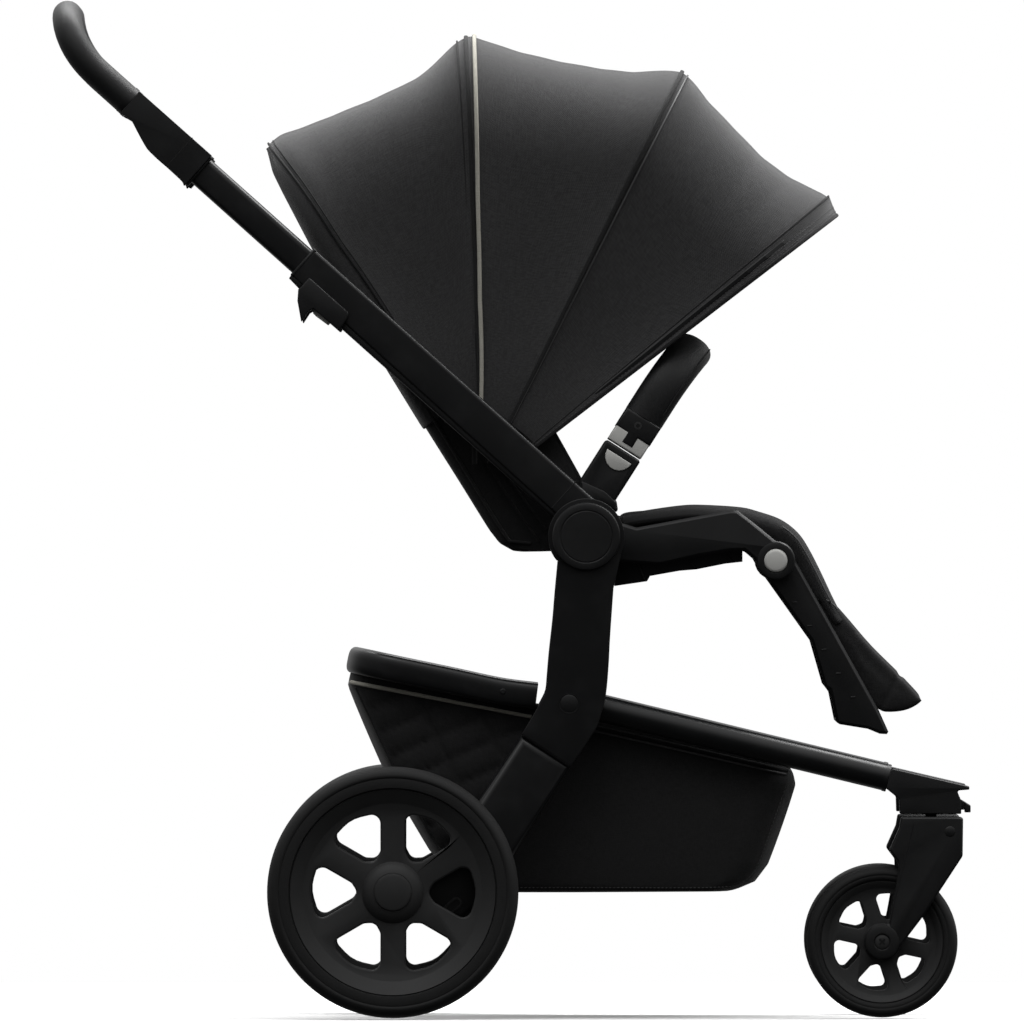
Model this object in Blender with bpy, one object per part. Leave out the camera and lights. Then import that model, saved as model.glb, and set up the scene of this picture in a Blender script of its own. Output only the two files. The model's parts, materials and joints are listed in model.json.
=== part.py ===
"""Full-size baby stroller: folding chassis, telescopic pushbar, seat unit and canopy.

Metres, +Z up, +X forwards, +Y to the stroller's left. The origin is on the floor,
below the middle of the object. Side-view places are (x, z) pairs; a piece of the
left side is made at +y and its twin at -y.
"""
import bpy
import bmesh
from math import atan2, ceil, cos, degrees, pi, radians, sin, tan
from mathutils import Matrix, Vector

# ------------------------------------------------------------------ driving dimensions
# Side view: the main points that the rest is hung on
HUB_X, HUB_Z = 0.078, 0.505            # hub where upright, pushbar and seat meet
ELBOW_X, ELBOW_Z = 0.060, 0.330        # pivot of the front frame
REAR_X, REAR_RADIUS = -0.125, 0.132    # rear axle and wheel
CASTER_X, FRONT_RADIUS = 0.440, 0.0795
CASTER_TRAIL = 0.0515
CANOPY_X, CANOPY_Z = -0.039, 0.551     # canopy pivot on the seat back
KNEE_X, KNEE_Z = 0.2772, 0.4797        # leg rest pivot

# Widths, stacked outwards from the middle
SEAT_HALF = 0.184        # half the width that the seat unit may take
BAR_GAP = 0.005          # seat unit to pushbar
BAR_THICK = 0.026        # pushbar, across
LEG_GAP = 0.002
LEG_THICK = 0.026        # upright and leg, across
REAR_GAP = 0.0045
REAR_WIDTH = 0.045       # rear tyre
FRONT_WIDTH = 0.032      # front tyre

# Pushbar, measured along its own line from the hub
BAR_ANGLE = 138.2        # degrees from straight ahead
BAR_LENGTH = 0.415       # hub to the open end of the outer tube
BAR_TOP, BAR_BOTTOM = 0.0350, -0.0087  # tube edges above and below the hub line
BAR_WALL = 0.0023
SLIDER_TALL, SLIDER_THICK = 0.0315, 0.019
SLIDER_INSERT = 0.165    # length of inner tube inside the outer one
HEIGHT_TRAVEL = 0.130
HOUSING_START, HOUSING_LENGTH = 0.560, 0.101
GRIP_RADIUS = 0.0155
GRIP_REACH, GRIP_RISE = 0.772, 0.045   # cross grip's centre along and above the bar

# Chassis
HUB_RADIUS = 0.040
HUB_CAP_RADIUS, HUB_CAP_HIGH = 0.0357, 0.007
HUB_SHANK = 0.010
LEG_WIDE = 0.061         # leg, front to back
AXLE_RADIUS, AXLE_SLEEVE = 0.006, 0.012
FRONT_TUBE_RADIUS = 0.014
FRONT_TUBE_SLOPE = -13.6
BASKET_HALF = 0.180
BASKET_WALL = 0.004
RIM_TALL, RIM_THICK = 0.029, 0.017     # basket's rim bar

# Wheels
REAR_RIM, REAR_CAP = 0.1087, 0.0204
FRONT_RIM, FRONT_HUB = 0.0561, 0.0193
FORK_ARM = 0.006
FORK_TOP = 0.2108
BRACKET_BOTTOM = 0.2139

# Seat unit
RAIL_THICK = 0.021
WING_GAP = 0.002
WING_WALL = 0.008
BACK_ANGLE = 121.0       # seat back's rear line, degrees from straight ahead
BUMPER_ANGLE = 57.5
BUMPER_WIDE, BUMPER_THICK = 0.043, 0.030
HOOP_ANGLES = (120.0, 90.6, 63.8, 39.0)
HOOP_REACH = (0.4245, 0.4710, 0.4825, 0.4785)
HOOP_TALL, HOOP_THICK = 0.006, 0.005
HOOP_CORNER = 0.11       # radius of a hoop's shoulders
BACK_LENGTH = 0.462
PANEL_LOW = 0.100        # canopy fabric's start, from the pivot
FABRIC = 0.003

CLEAR = 0.0003           # gap between touching solids
RUN = 0.0005             # gap between moving solids
STEPS = 40               # facets around a big wheel

# ------------------------------------------------------------------ derived places
BAR_IN = SEAT_HALF + BAR_GAP
BAR_OUT = BAR_IN + BAR_THICK
BAR_MID = (BAR_IN + BAR_OUT) / 2
LEG_IN = BAR_OUT + LEG_GAP
LEG_OUT = LEG_IN + LEG_THICK
REAR_IN = LEG_OUT + REAR_GAP
REAR_OUT = REAR_IN + REAR_WIDTH
FRONT_X = CASTER_X - CASTER_TRAIL
HUB = (HUB_X, HUB_Z)
ELBOW = (ELBOW_X, ELBOW_Z)
REAR = (REAR_X, REAR_RADIUS)
FRONT = (FRONT_X, FRONT_RADIUS)
CANOPY = (CANOPY_X, CANOPY_Z)
KNEE = (KNEE_X, KNEE_Z)
RAIL_OUT = SEAT_HALF
RAIL_IN = RAIL_OUT - RAIL_THICK
WING_OUT = RAIL_IN - WING_GAP
BACK_FOOT = (HUB_X - 0.0917, HUB_Z - 0.0099)
HOOP_HALF = SEAT_HALF - 0.008
SIDES = (("left", 1), ("right", -1))


# ------------------------------------------------------------------ outlines
def polar(centre, radius, angle):
    """Point at an angle in degrees around a centre."""
    return Vector((centre[0] + radius * cos(radians(angle)), centre[1] + radius * sin(radians(angle))))


def arc(centre, radius, start, end, step=15):
    """Points of an arc from one angle to another, in degrees."""
    count = max(2, ceil(abs(end - start) / step))
    return [polar(centre, radius, start + (end - start) * k / count) for k in range(count + 1)]


def rounded(corners, step=24):
    """Outline through (x, z, radius) corners, each turned into an arc that its sides have room for."""
    outline = []
    for i, (x, z, radius) in enumerate(corners):
        here = Vector((x, z))
        before = Vector(corners[i - 1][:2]) - here
        after = Vector(corners[(i + 1) % len(corners)][:2]) - here
        angle = before.angle(after)
        if radius <= 0 or pi - angle < radians(4):
            outline.append(here)
            continue
        reach = min(radius / tan(angle / 2), 0.49 * before.length, 0.49 * after.length)
        radius = reach * tan(angle / 2)
        middle = here + (before.normalized() + after.normalized()).normalized() * radius / sin(angle / 2)
        first = here + before.normalized() * reach - middle
        last = here + after.normalized() * reach - middle
        turn = atan2(first.cross(last), first.dot(last))
        count = max(2, ceil(degrees(abs(turn)) / step))
        for k in range(count + 1):
            outline.append(middle + Matrix.Rotation(turn * k / count, 2) @ first)
    return outline


def along(origin, angle, points):
    """Move (s, t, ...) points into the side view, s along an angle and t to its upper side."""
    ahead = Vector((cos(radians(angle)), sin(radians(angle))))
    up = Vector((-ahead.y, ahead.x)) if ahead.x > 0 else Vector((ahead.y, -ahead.x))
    placed = []
    for s, t, *rest in points:
        spot = Vector(origin) + ahead * s + up * t
        placed.append((spot.x, spot.y, *rest))
    return placed


def bar(points):
    """Points given along the pushbar."""
    return along(HUB, BAR_ANGLE, points)


# ------------------------------------------------------------------ solids
def finish(bm):
    """Weld and point every face outwards."""
    bmesh.ops.remove_doubles(bm, verts=bm.verts, dist=1e-6)
    bmesh.ops.recalc_face_normals(bm, faces=bm.faces)
    return bm


def slab(outline, low, high):
    """Side-view outline given a thickness in y."""
    bm = bmesh.new()
    face = bm.faces.new([bm.verts.new((p[0], low, p[1])) for p in outline])
    grown = bmesh.ops.extrude_face_region(bm, geom=[face])
    moved = [v for v in grown["geom"] if isinstance(v, bmesh.types.BMVert)]
    bmesh.ops.translate(bm, verts=moved, vec=(0, high - low, 0))
    return finish(bm)


def turned(centre, profile, steps=32, closed=False):
    """Solid turned about a cross axis, from (radius, y) points; a facet lies flat at the bottom."""
    bm = bmesh.new()
    start = -pi / 2 + pi / steps
    ring = [bm.verts.new((centre[0] + r * cos(start), y, centre[1] + r * sin(start))) for r, y in profile]
    edges = [bm.edges.new(pair) for pair in zip(ring, ring[1:])]
    if closed:
        edges.append(bm.edges.new((ring[-1], ring[0])))
    bmesh.ops.spin(bm, geom=ring + edges, cent=(centre[0], 0, centre[1]), axis=(0, 1, 0),
                   angle=2 * pi, steps=steps, use_merge=True)
    return finish(bm)


def post(x, y, low, high, radius, steps=16):
    """Upright round pin."""
    bm = bmesh.new()
    bmesh.ops.create_cone(bm, cap_ends=True, segments=steps, radius1=radius, radius2=radius,
                          depth=high - low, matrix=Matrix.Translation((x, y, (low + high) / 2)))
    return finish(bm)


def loft(rings, closed=False):
    """Skin over rings of equal length; the ends are capped unless the rings close on themselves."""
    bm = bmesh.new()
    rows = [[bm.verts.new(p) for p in ring] for ring in rings]
    pairs = list(zip(rows, rows[1:]))
    if closed:
        pairs.append((rows[-1], rows[0]))
    for a, b in pairs:
        for k in range(len(a)):
            n = (k + 1) % len(a)
            bm.faces.new((a[k], a[n], b[n], b[k]))
    if not closed:
        bm.faces.new(rows[0])
        bm.faces.new(rows[-1])
    return finish(bm)


def oval(wide, thick, count=12, square=0.5):
    """Section points of a rounded bar; square 1 is an ellipse, less is boxier."""
    points = []
    for k in range(count):
        c, s = cos(2 * pi * (k + 0.5) / count), sin(2 * pi * (k + 0.5) / count)
        points.append((wide / 2 * abs(c) ** square * (1 if c > 0 else -1),
                       thick / 2 * abs(s) ** square * (1 if s > 0 else -1)))
    return points


def swept(path, section, normal):
    """Bar along a path; the section's first axis stays as near to the normal as it can."""
    path = [Vector(p) for p in path]
    rings = []
    for i, spot in enumerate(path):
        ahead = (path[min(i + 1, len(path) - 1)] - path[max(i - 1, 0)]).normalized()
        first = (Vector(normal) - ahead * ahead.dot(Vector(normal))).normalized()
        second = ahead.cross(first)
        rings.append([spot + first * a + second * b for a, b in section])
    return loft(rings)


def bezier(start, pull_a, pull_b, end, count):
    """Points of a cubic curve."""
    start, pull_a, pull_b, end = (Vector(p) for p in (start, pull_a, pull_b, end))
    points = []
    for k in range(count + 1):
        t = k / count
        points.append(start * (1 - t) ** 3 + pull_a * 3 * t * (1 - t) ** 2
                      + pull_b * 3 * t * t * (1 - t) + end * t ** 3)
    return points


def mirrored(half):
    """Path of a left half followed by its right twin."""
    half = [Vector(p) for p in half]
    twin = [Vector((p.x, -p.y, p.z)) for p in reversed(half)]
    return half + (twin[1:] if abs(half[-1].y) < 1e-9 else twin)


# ------------------------------------------------------------------ scene building
FINISHES = {
    "frame_black": ((0.018, 0.019, 0.020), 0.38, 0.6),
    "plastic_black": ((0.020, 0.021, 0.022), 0.50, 0.0),
    "plastic_grey": ((0.62, 0.62, 0.60), 0.45, 0.0),
    "wheel_plastic": ((0.030, 0.031, 0.032), 0.60, 0.0),
    "tyre_rubber": ((0.030, 0.031, 0.031), 0.85, 0.0),
    "axle_steel": ((0.45, 0.45, 0.46), 0.35, 1.0),
    "grip_leather": ((0.028, 0.028, 0.029), 0.55, 0.0),
    "seat_fabric": ((0.022, 0.022, 0.024), 0.90, 0.0),
    "canopy_fabric": ((0.040, 0.040, 0.042), 0.92, 0.0),
    "basket_fabric": ((0.020, 0.020, 0.021), 0.92, 0.0),
}
BODIES = {}


def material(slot):
    """The named finish, made once."""
    found = bpy.data.materials.get(slot)
    if found:
        return found
    color, rough, metallic = FINISHES[slot]
    made = bpy.data.materials.new(slot)
    made.use_nodes = True
    shader = made.node_tree.nodes["Principled BSDF"]
    shader.inputs["Base Color"].default_value = (*color, 1)
    shader.inputs["Roughness"].default_value = rough
    shader.inputs["Metallic"].default_value = metallic
    return made


def body(name, place, parent=None):
    """Empty on a moving body's axis, which carries the body's pieces."""
    empty = bpy.data.objects.new(name + "_axis", None)
    bpy.context.scene.collection.objects.link(empty)
    BODIES[name] = (empty, Vector(place))
    empty.location = BODIES[name][1]
    if parent:
        empty.parent = BODIES[parent][0]
        empty.location = BODIES[name][1] - BODIES[parent][1]


def piece(name, bm, slot, owner, bevel=0.0, segments=1):
    """Object of one solid, set on its body, with its edges rounded."""
    empty, place = BODIES[owner]
    bmesh.ops.translate(bm, verts=bm.verts, vec=-place)
    mesh = bpy.data.meshes.new(name)
    bm.to_mesh(mesh)
    bm.free()
    mesh.shade_smooth()
    mesh.set_sharp_from_angle(angle=radians(35))
    mesh.materials.append(material(slot))
    made = bpy.data.objects.new(name, mesh)
    bpy.context.scene.collection.objects.link(made)
    made.parent = empty
    if bevel:
        rounding = made.modifiers.new("edges", "BEVEL")
        rounding.width = bevel
        rounding.segments = segments
        rounding.limit_method = "ANGLE"
        rounding.angle_limit = radians(40)
    return made


def tool(name, bm, owner, made, operation="DIFFERENCE"):
    """Hidden solid that is cut from a piece, or joined to it."""
    empty, place = BODIES[owner]
    bmesh.ops.translate(bm, verts=bm.verts, vec=-place)
    mesh = bpy.data.meshes.new(name)
    bm.to_mesh(mesh)
    bm.free()
    guide = bpy.data.objects.new(name, mesh)
    bpy.context.scene.collection.objects.link(guide)
    guide.parent = empty
    guide.hide_render = True
    guide.display_type = "WIRE"
    cut = made.modifiers.new(name, "BOOLEAN")
    cut.operation = operation
    cut.solver = "EXACT"
    cut.object = guide
    return guide


# ------------------------------------------------------------------ chassis
def make_bodies():
    """Empties on every axis, parent before child."""
    body("chassis", (0, 0, 0))
    body("front_frame", (ELBOW_X, 0, ELBOW_Z), "chassis")
    body("pushbar", (HUB_X, 0, HUB_Z), "chassis")
    body("handle", (HUB_X, 0, HUB_Z), "pushbar")
    body("brake", (REAR_X, 0, REAR_RADIUS), "chassis")
    body("seat", (HUB_X, 0, HUB_Z), "chassis")
    body("backrest", (HUB_X, 0, HUB_Z), "seat")
    body("legrest", (KNEE_X, 0, KNEE_Z), "seat")
    body("bumper", (HUB_X, 0, HUB_Z), "seat")
    body("canopy_rear", (CANOPY_X, 0, CANOPY_Z), "backrest")
    body("canopy_middle", (CANOPY_X, 0, CANOPY_Z), "canopy_rear")
    body("canopy_front", (CANOPY_X, 0, CANOPY_Z), "canopy_middle")
    for side, s in SIDES:
        body(f"rear_wheel_{side}", (REAR_X, s * (REAR_IN + REAR_OUT) / 2, REAR_RADIUS), "chassis")
        body(f"caster_{side}", (CASTER_X, s * BAR_MID, BRACKET_BOTTOM), "front_frame")
        body(f"front_wheel_{side}", (FRONT_X, s * BAR_MID, FRONT_RADIUS), f"caster_{side}")
        body(f"swivel_lock_{side}", (CASTER_X, s * BAR_MID, BRACKET_BOTTOM), "front_frame")
        body(f"fold_trigger_{side}", (HUB_X, s * BAR_MID, HUB_Z), "pushbar")
        body(f"height_button_{side}", (HUB_X, s * BAR_MID, HUB_Z), "handle")
        body(f"legrest_button_{side}", (KNEE_X, s * RAIL_OUT, KNEE_Z), "seat")
        body(f"bumper_button_{side}", (HUB_X, s * RAIL_OUT, HUB_Z), "seat")


def leg_line():
    """Top and foot of the lower leg's middle line."""
    top = Vector((ELBOW_X - 0.0241, ELBOW_Z - 0.0492))
    foot = Vector((REAR_X + 0.064, REAR_RADIUS))
    return top, foot


def make_uprights():
    """Upright with the hub disc at its top and the elbow below, ending in a seam."""
    top, foot = leg_line()
    ahead = (foot - top).normalized()
    across = Vector((-ahead.y, ahead.x)) * LEG_WIDE / 2
    seam_front, seam_rear = top + across, top - across
    outline = arc(HUB, HUB_RADIUS, -21, 219)
    outline += [Vector((ELBOW_X - 0.0234, ELBOW_Z + 0.0225)), Vector((ELBOW_X - 0.0245, ELBOW_Z + 0.0130)),
                Vector((ELBOW_X - 0.0343, ELBOW_Z - 0.0059)), seam_rear, seam_front]
    outline += [Vector((ELBOW_X + 0.0264, ELBOW_Z - 0.0286)), Vector((ELBOW_X + 0.0329, ELBOW_Z - 0.0122)),
                Vector((ELBOW_X + 0.0383, ELBOW_Z + 0.0088)), Vector((ELBOW_X + 0.0412, ELBOW_Z + 0.0402)),
                Vector((ELBOW_X + 0.0427, ELBOW_Z + 0.0696)), Vector((HUB_X + 0.0285, HUB_Z - 0.0541))]
    for side, s in SIDES:
        made = piece(f"upright_{side}", slab(outline, s * LEG_IN, s * LEG_OUT), "frame_black", "chassis", 0.005)
        bore = turned(HUB, [(0, s * (LEG_IN - 0.01)), (HUB_SHANK + CLEAR, s * (LEG_IN - 0.01)),
                            (HUB_SHANK + CLEAR, s * (LEG_OUT + 0.01)), (0, s * (LEG_OUT + 0.01))], 20)
        tool(f"upright_bore_{side}", bore, "chassis", made)


def make_legs():
    """Leg tube from the elbow's seam to a foot that holds the rear axle."""
    top, foot = leg_line()
    ahead = (foot - top).normalized()
    across = Vector((-ahead.y, ahead.x)) * LEG_WIDE / 2
    low = REAR_RADIUS - 0.030
    start = top + ahead * CLEAR
    heel = start - across
    toe = start + across
    toe_end = toe + ahead * ((low + 0.012 - toe.y) / ahead.y)
    heel_end = heel + ahead * ((REAR_RADIUS + 0.022 - heel.y) / ahead.y)
    outline = [toe, toe_end, Vector((toe_end.x - 0.016, low))]
    outline += arc(REAR, 0.026, 282, 84)
    outline += [heel_end, heel]
    for side, s in SIDES:
        made = piece(f"leg_tube_{side}", slab(outline, s * LEG_IN, s * LEG_OUT), "frame_black", "chassis", 0.005)
        bore = turned(REAR, [(0, s * (LEG_IN - 0.01)), (AXLE_RADIUS + CLEAR, s * (LEG_IN - 0.01)),
                             (AXLE_RADIUS + CLEAR, s * (LEG_OUT + 0.01)), (0, s * (LEG_OUT + 0.01))], 16)
        tool(f"leg_bore_{side}", bore, "chassis", made)


def make_hub_caps():
    """Round cover whose shank is the pivot pin through upright and pushbar."""
    tip = BAR_IN - RUN
    for side, s in SIDES:
        profile = [(0, tip), (HUB_SHANK, tip), (HUB_SHANK, LEG_OUT + CLEAR), (HUB_CAP_RADIUS, LEG_OUT + CLEAR),
                   (HUB_CAP_RADIUS, LEG_OUT + HUB_CAP_HIGH - 0.002),
                   (HUB_CAP_RADIUS - 0.002, LEG_OUT + HUB_CAP_HIGH), (0, LEG_OUT + HUB_CAP_HIGH)]
        piece(f"hub_cap_{side}", turned(HUB, [(r, s * y) for r, y in profile], 32), "plastic_black", "chassis")


def make_rear_axle():
    """Axle rod through both feet and wheels, with a thicker sleeve between the feet."""
    end = REAR_OUT - 0.0075
    shoulder = LEG_IN - CLEAR
    profile = [(0, -end), (AXLE_RADIUS, -end), (AXLE_RADIUS, -shoulder), (AXLE_SLEEVE, -shoulder),
               (AXLE_SLEEVE, shoulder), (AXLE_RADIUS, shoulder), (AXLE_RADIUS, end), (0, end)]
    piece("rear_axle", turned(REAR, profile, 16), "axle_steel", "chassis")


def make_brake():
    """Foot pedal that turns on the axle's sleeve."""
    tilt, half = 150.0, 0.009
    hub = AXLE_SLEEVE + 0.006
    lift = degrees(atan2(half, hub))
    outline = arc(REAR, hub, tilt + lift, tilt - lift + 360, 24)
    outline += [Vector(p) for p in along_line(REAR, tilt, [(0.084, -half), (0.092, -0.003), (0.092, 0.004),
                                                         (0.086, half)])]
    made = piece("brake_pedal", slab(outline, -0.048, 0.048), "plastic_black", "brake", 0.002)
    bore = turned(REAR, [(0, -0.06), (AXLE_SLEEVE + RUN, -0.06), (AXLE_SLEEVE + RUN, 0.06), (0, 0.06)], 20)
    tool("brake_bore", bore, "brake", made)


def along_line(origin, angle, points):
    """Points given along a line and to its left, whichever way it leans."""
    ahead = Vector((cos(radians(angle)), sin(radians(angle))))
    left = Vector((-ahead.y, ahead.x))
    return [Vector(origin) + ahead * s + left * t for s, t in points]


# ------------------------------------------------------------------ wheels
def tyre_profile(radius, rim, width, middle, s, steps):
    """Closed (radius, y) loop of a tyre with a rounded tread."""
    tread = radius / cos(pi / steps)
    half = width / 2
    right = [(tread, half * 0.50), (tread - 0.045 * radius, half * 0.86), (tread - 0.13 * radius, half),
             (rim, half * 0.84)]
    loop = right + [(r, -y) for r, y in reversed(right)]
    return [(r, s * (middle + y)) for r, y in loop]


def spoke_hole(centre, inner, outer, narrow, wide, angle):
    """Rounded trapezoid between two spokes."""
    corner = 0.16 * (outer - inner)
    points = [(inner, -narrow), (outer - 0.006 * outer, -wide), (outer + 0.04 * outer, 0),
              (outer - 0.006 * outer, wide), (inner, narrow)]
    rims = [corner, corner * 1.6, 0, corner * 1.6, corner]
    placed = along_line(centre, angle, points)
    return rounded([(p.x, p.y, r) for p, r in zip(placed, rims)], 60)


def joined(solids):
    """Several bmeshes in one, for a cutting tool."""
    bm = bmesh.new()
    for part in solids:
        mesh = bpy.data.meshes.new("part")
        part.to_mesh(mesh)
        part.free()
        bm.from_mesh(mesh)
        bpy.data.meshes.remove(mesh)
    return bm


def make_wheel(prefix, side, s, sizes, bore, holes, first_angle, steps):
    """Tyre and a rim plate with six openings."""
    centre, radius, rim, width, middle = sizes
    owner = f"{prefix}_wheel_{side}"
    tyre = turned(centre, tyre_profile(radius, rim, width, middle, s, steps), steps, closed=True)
    piece(f"{prefix}_tyre_{side}", tyre, "tyre_rubber", owner)
    half = width / 2 - 0.13 * width
    edge = rim - CLEAR
    plate = [(bore, -half), (edge, -half), (edge, half), (bore, half)]
    made = piece(f"{prefix}_rim_{side}", turned(centre, [(r, s * (middle + y)) for r, y in plate], steps,
                                               closed=True), "wheel_plastic", owner)
    inner, outer, narrow, wide = holes
    cutters = [slab(spoke_hole(centre, inner, outer, narrow, wide, first_angle + 60 * k),
                    s * (middle - width), s * (middle + width)) for k in range(6)]
    tool(f"{prefix}_openings_{side}", joined(cutters), owner, made)


def make_rear_wheels():
    """Big wheels on the axle's ends, each with a hub cap."""
    middle = (REAR_IN + REAR_OUT) / 2
    holes = (0.042, 0.084, 0.0105, 0.027)
    for side, s in SIDES:
        make_wheel("rear", side, s, (REAR, REAR_RADIUS, REAR_RIM, REAR_WIDTH, middle), AXLE_RADIUS + RUN,
                   holes, 0, STEPS)
        face = middle + REAR_WIDTH / 2 - 0.13 * REAR_WIDTH + CLEAR
        profile = [(0, face), (REAR_CAP, face), (REAR_CAP, REAR_OUT - 0.0015), (REAR_CAP - 0.002, REAR_OUT),
                   (0, REAR_OUT)]
        cap = turned(REAR, [(r, s * y) for r, y in profile], 24)
        piece(f"rear_hub_cap_{side}", cap, "plastic_black", f"rear_wheel_{side}")


def make_front_wheels():
    """Small wheels inside the casters' forks."""
    holes = (0.0265, 0.0470, 0.0075, 0.0150)
    for side, s in SIDES:
        make_wheel("front", side, s, (FRONT, FRONT_RADIUS, FRONT_RIM, FRONT_WIDTH, BAR_MID), FORK_ARM + RUN,
                   holes, 17.7, 32)


def make_forks():
    """Caster fork: head, two arms, stem and axle pin in one casting."""
    half = FRONT_WIDTH / 2 + 0.002 + FORK_ARM
    cx, top = CASTER_X, FORK_TOP
    left = [(cx - 0.0315, top, 0.002), (cx - 0.0335, top - 0.0115, 0.003), (cx - 0.0440, top - 0.0350, 0.004),
            (cx - 0.0350, top - 0.0470, 0.004), (cx - 0.0345, top - 0.0570, 0.010)]
    disc = [(p.x, p.y, 0) for p in arc(FRONT, FRONT_HUB, 69, 345, 18)]
    right = [(FRONT_X + 0.0431, FRONT_RADIUS + 0.0271, 0.01), (cx + 0.0330, top - 0.0412, 0.006),
             (cx + 0.0335, top, 0.003)]
    outline = rounded(left + disc + right)
    for side, s in SIDES:
        owner = f"caster_{side}"
        made = piece(f"caster_fork_{side}", slab(outline, s * (BAR_MID - half), s * (BAR_MID + half)),
                     "plastic_black", owner, 0.0025)
        slot = FRONT_WIDTH / 2 + 0.002
        ring = [(FORK_ARM, BAR_MID - slot), (FRONT_RADIUS + 0.007, BAR_MID - slot),
                (FRONT_RADIUS + 0.007, BAR_MID + slot), (FORK_ARM, BAR_MID + slot)]
        tool(f"fork_slot_{side}", turned(FRONT, [(r, s * y) for r, y in ring], 32, closed=True), owner, made)
        stem = post(CASTER_X, s * BAR_MID, FORK_TOP - 0.004, BRACKET_BOTTOM + 0.013, 0.006)
        tool(f"fork_stem_{side}", stem, owner, made, "UNION")


def make_front_frame():
    """Two tubes from the elbows to the caster brackets, and the bar between them."""
    slope = radians(FRONT_TUBE_SLOPE)
    ahead = Vector((cos(slope), 0, sin(slope)))
    pivot = Vector((ELBOW_X, 0, ELBOW_Z + 0.0024))
    seam_x = CASTER_X - 0.0445
    reach = (seam_x - ELBOW_X) / cos(slope)
    start, end = pivot - ahead * 0.012, pivot + ahead * (reach - CLEAR)
    for side, s in SIDES:
        shift = Vector((0, s * BAR_MID, 0))
        tube = swept([start + shift, end + shift], oval(FRONT_TUBE_RADIUS * 2, FRONT_TUBE_RADIUS * 2, 16, 1),
                     (0, 0, 1))
        piece(f"front_tube_{side}", tube, "frame_black", "front_frame")
    spot = pivot + ahead * (reach - 0.055)
    edge = BAR_MID - FRONT_TUBE_RADIUS - CLEAR
    rung = turned((spot.x, spot.z), [(0, -edge), (0.010, -edge), (0.010, edge), (0, edge)], 16)
    piece("front_crossbar", rung, "frame_black", "front_frame")
    make_brackets(pivot + ahead * reach, ahead)


def make_brackets(seam, ahead):
    """Caster bracket on the end of each front tube, with its swivel lock."""
    drop = Vector((ahead.z, 0, -ahead.x))
    high, low = seam - drop * 0.0110, seam + drop * 0.0110
    base = BRACKET_BOTTOM
    outline = rounded([(low.x, low.z, 0.002), (high.x, high.z, 0.003), (CASTER_X + 0.0400, base + 0.0290, 0.0015),
                       (CASTER_X + 0.0400, base + 0.0255, 0.001), (CASTER_X + 0.0270, base + 0.0245, 0.002),
                       (CASTER_X + 0.0315, base + 0.0140, 0.002), (CASTER_X + 0.0315, base, 0.001),
                       (CASTER_X - 0.0330, base, 0.001), (CASTER_X - 0.0335, base + 0.0158, 0.003)])
    for side, s in SIDES:
        made = piece(f"caster_bracket_{side}", slab(outline, s * (BAR_MID - 0.020), s * (BAR_MID + 0.020)),
                     "plastic_black", "front_frame", 0.0025)
        socket = post(CASTER_X, s * BAR_MID, base - 0.01, base + 0.0135, 0.006 + RUN)
        tool(f"stem_socket_{side}", socket, "front_frame", made)
        tab = rounded([(CASTER_X + 0.0350, base + 0.0015, 0.001), (CASTER_X + 0.0415, base + 0.0015, 0.001),
                       (CASTER_X + 0.0415, base + 0.0090, 0.002), (CASTER_X + 0.0350, base + 0.0130, 0.001)])
        lock = slab(tab, s * (BAR_MID - 0.009), s * (BAR_MID + 0.009))
        piece(f"swivel_lock_{side}", lock, "plastic_black", f"swivel_lock_{side}", 0.0008, 1)


def make_basket():
    """Rim bar around the rear of the basket, and the tub that hangs from it."""
    slope = tan(radians(11.9))
    front_x, rear_x = ELBOW_X - 0.034, ELBOW_X - 0.223
    base = ELBOW_Z + 0.0045
    y = BAR_IN + RIM_THICK / 2 + 0.001
    half = [Vector((front_x, y, base)), Vector((front_x - 0.06, y, base + 0.06 * slope))]
    corner = 0.070
    start = Vector((rear_x + corner, y, base + (front_x - rear_x - corner) * slope))
    end = Vector((rear_x, y - corner, base + (front_x - rear_x) * slope))
    half += bezier(start, start + Vector((-0.045, 0, 0.045 * slope)), end + Vector((0, 0.045, 0)), end, 6)
    rim = swept(mirrored(half), oval(RIM_TALL, RIM_THICK, 12, 0.6), (0.2, 0, 1))
    piece("basket_rim", rim, "frame_black", "front_frame")
    ex, ez = ELBOW
    outer = [(ex - 0.231, ez + 0.0270), (ex - 0.0395, ez - 0.0130), (ex + 0.0276, ez - 0.0200),
             (ex + 0.230, ez - 0.0700), (ex + 0.236, ez - 0.0780), (ex + 0.2046, ez - 0.1700),
             (ex + 0.1950, ez - 0.1880), (ex + 0.1700, ez - 0.1990), (ex - 0.0500, ez - 0.2000),
             (ex - 0.1040, ez - 0.1990), (ex - 0.1419, ez - 0.1562), (ex - 0.1630, ez - 0.1195)]
    w = BASKET_WALL
    inner = [(ex - 0.229 + 2 * w, ez + 0.06), (ex + 0.230 - w, ez + 0.06), (ex + 0.230 - 1.4 * w, ez - 0.0800),
             (ex + 0.2046 - w, ez - 0.1690), (ex + 0.1940 - w, ez - 0.1870 + w), (ex + 0.1700, ez - 0.2000 + w),
             (ex - 0.1020, ez - 0.2000 + w), (ex - 0.1400 + w, ez - 0.1545),
             (ex - 0.1620 + w, ez - 0.1190), (ex - 0.229 + 2 * w, ez + 0.0190)]
    tub = piece("basket", slab(outer, -BASKET_HALF, BASKET_HALF), "basket_fabric", "front_frame")
    tool("basket_inside", slab(inner, -BASKET_HALF + w, BASKET_HALF - w), "front_frame", tub)


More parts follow.
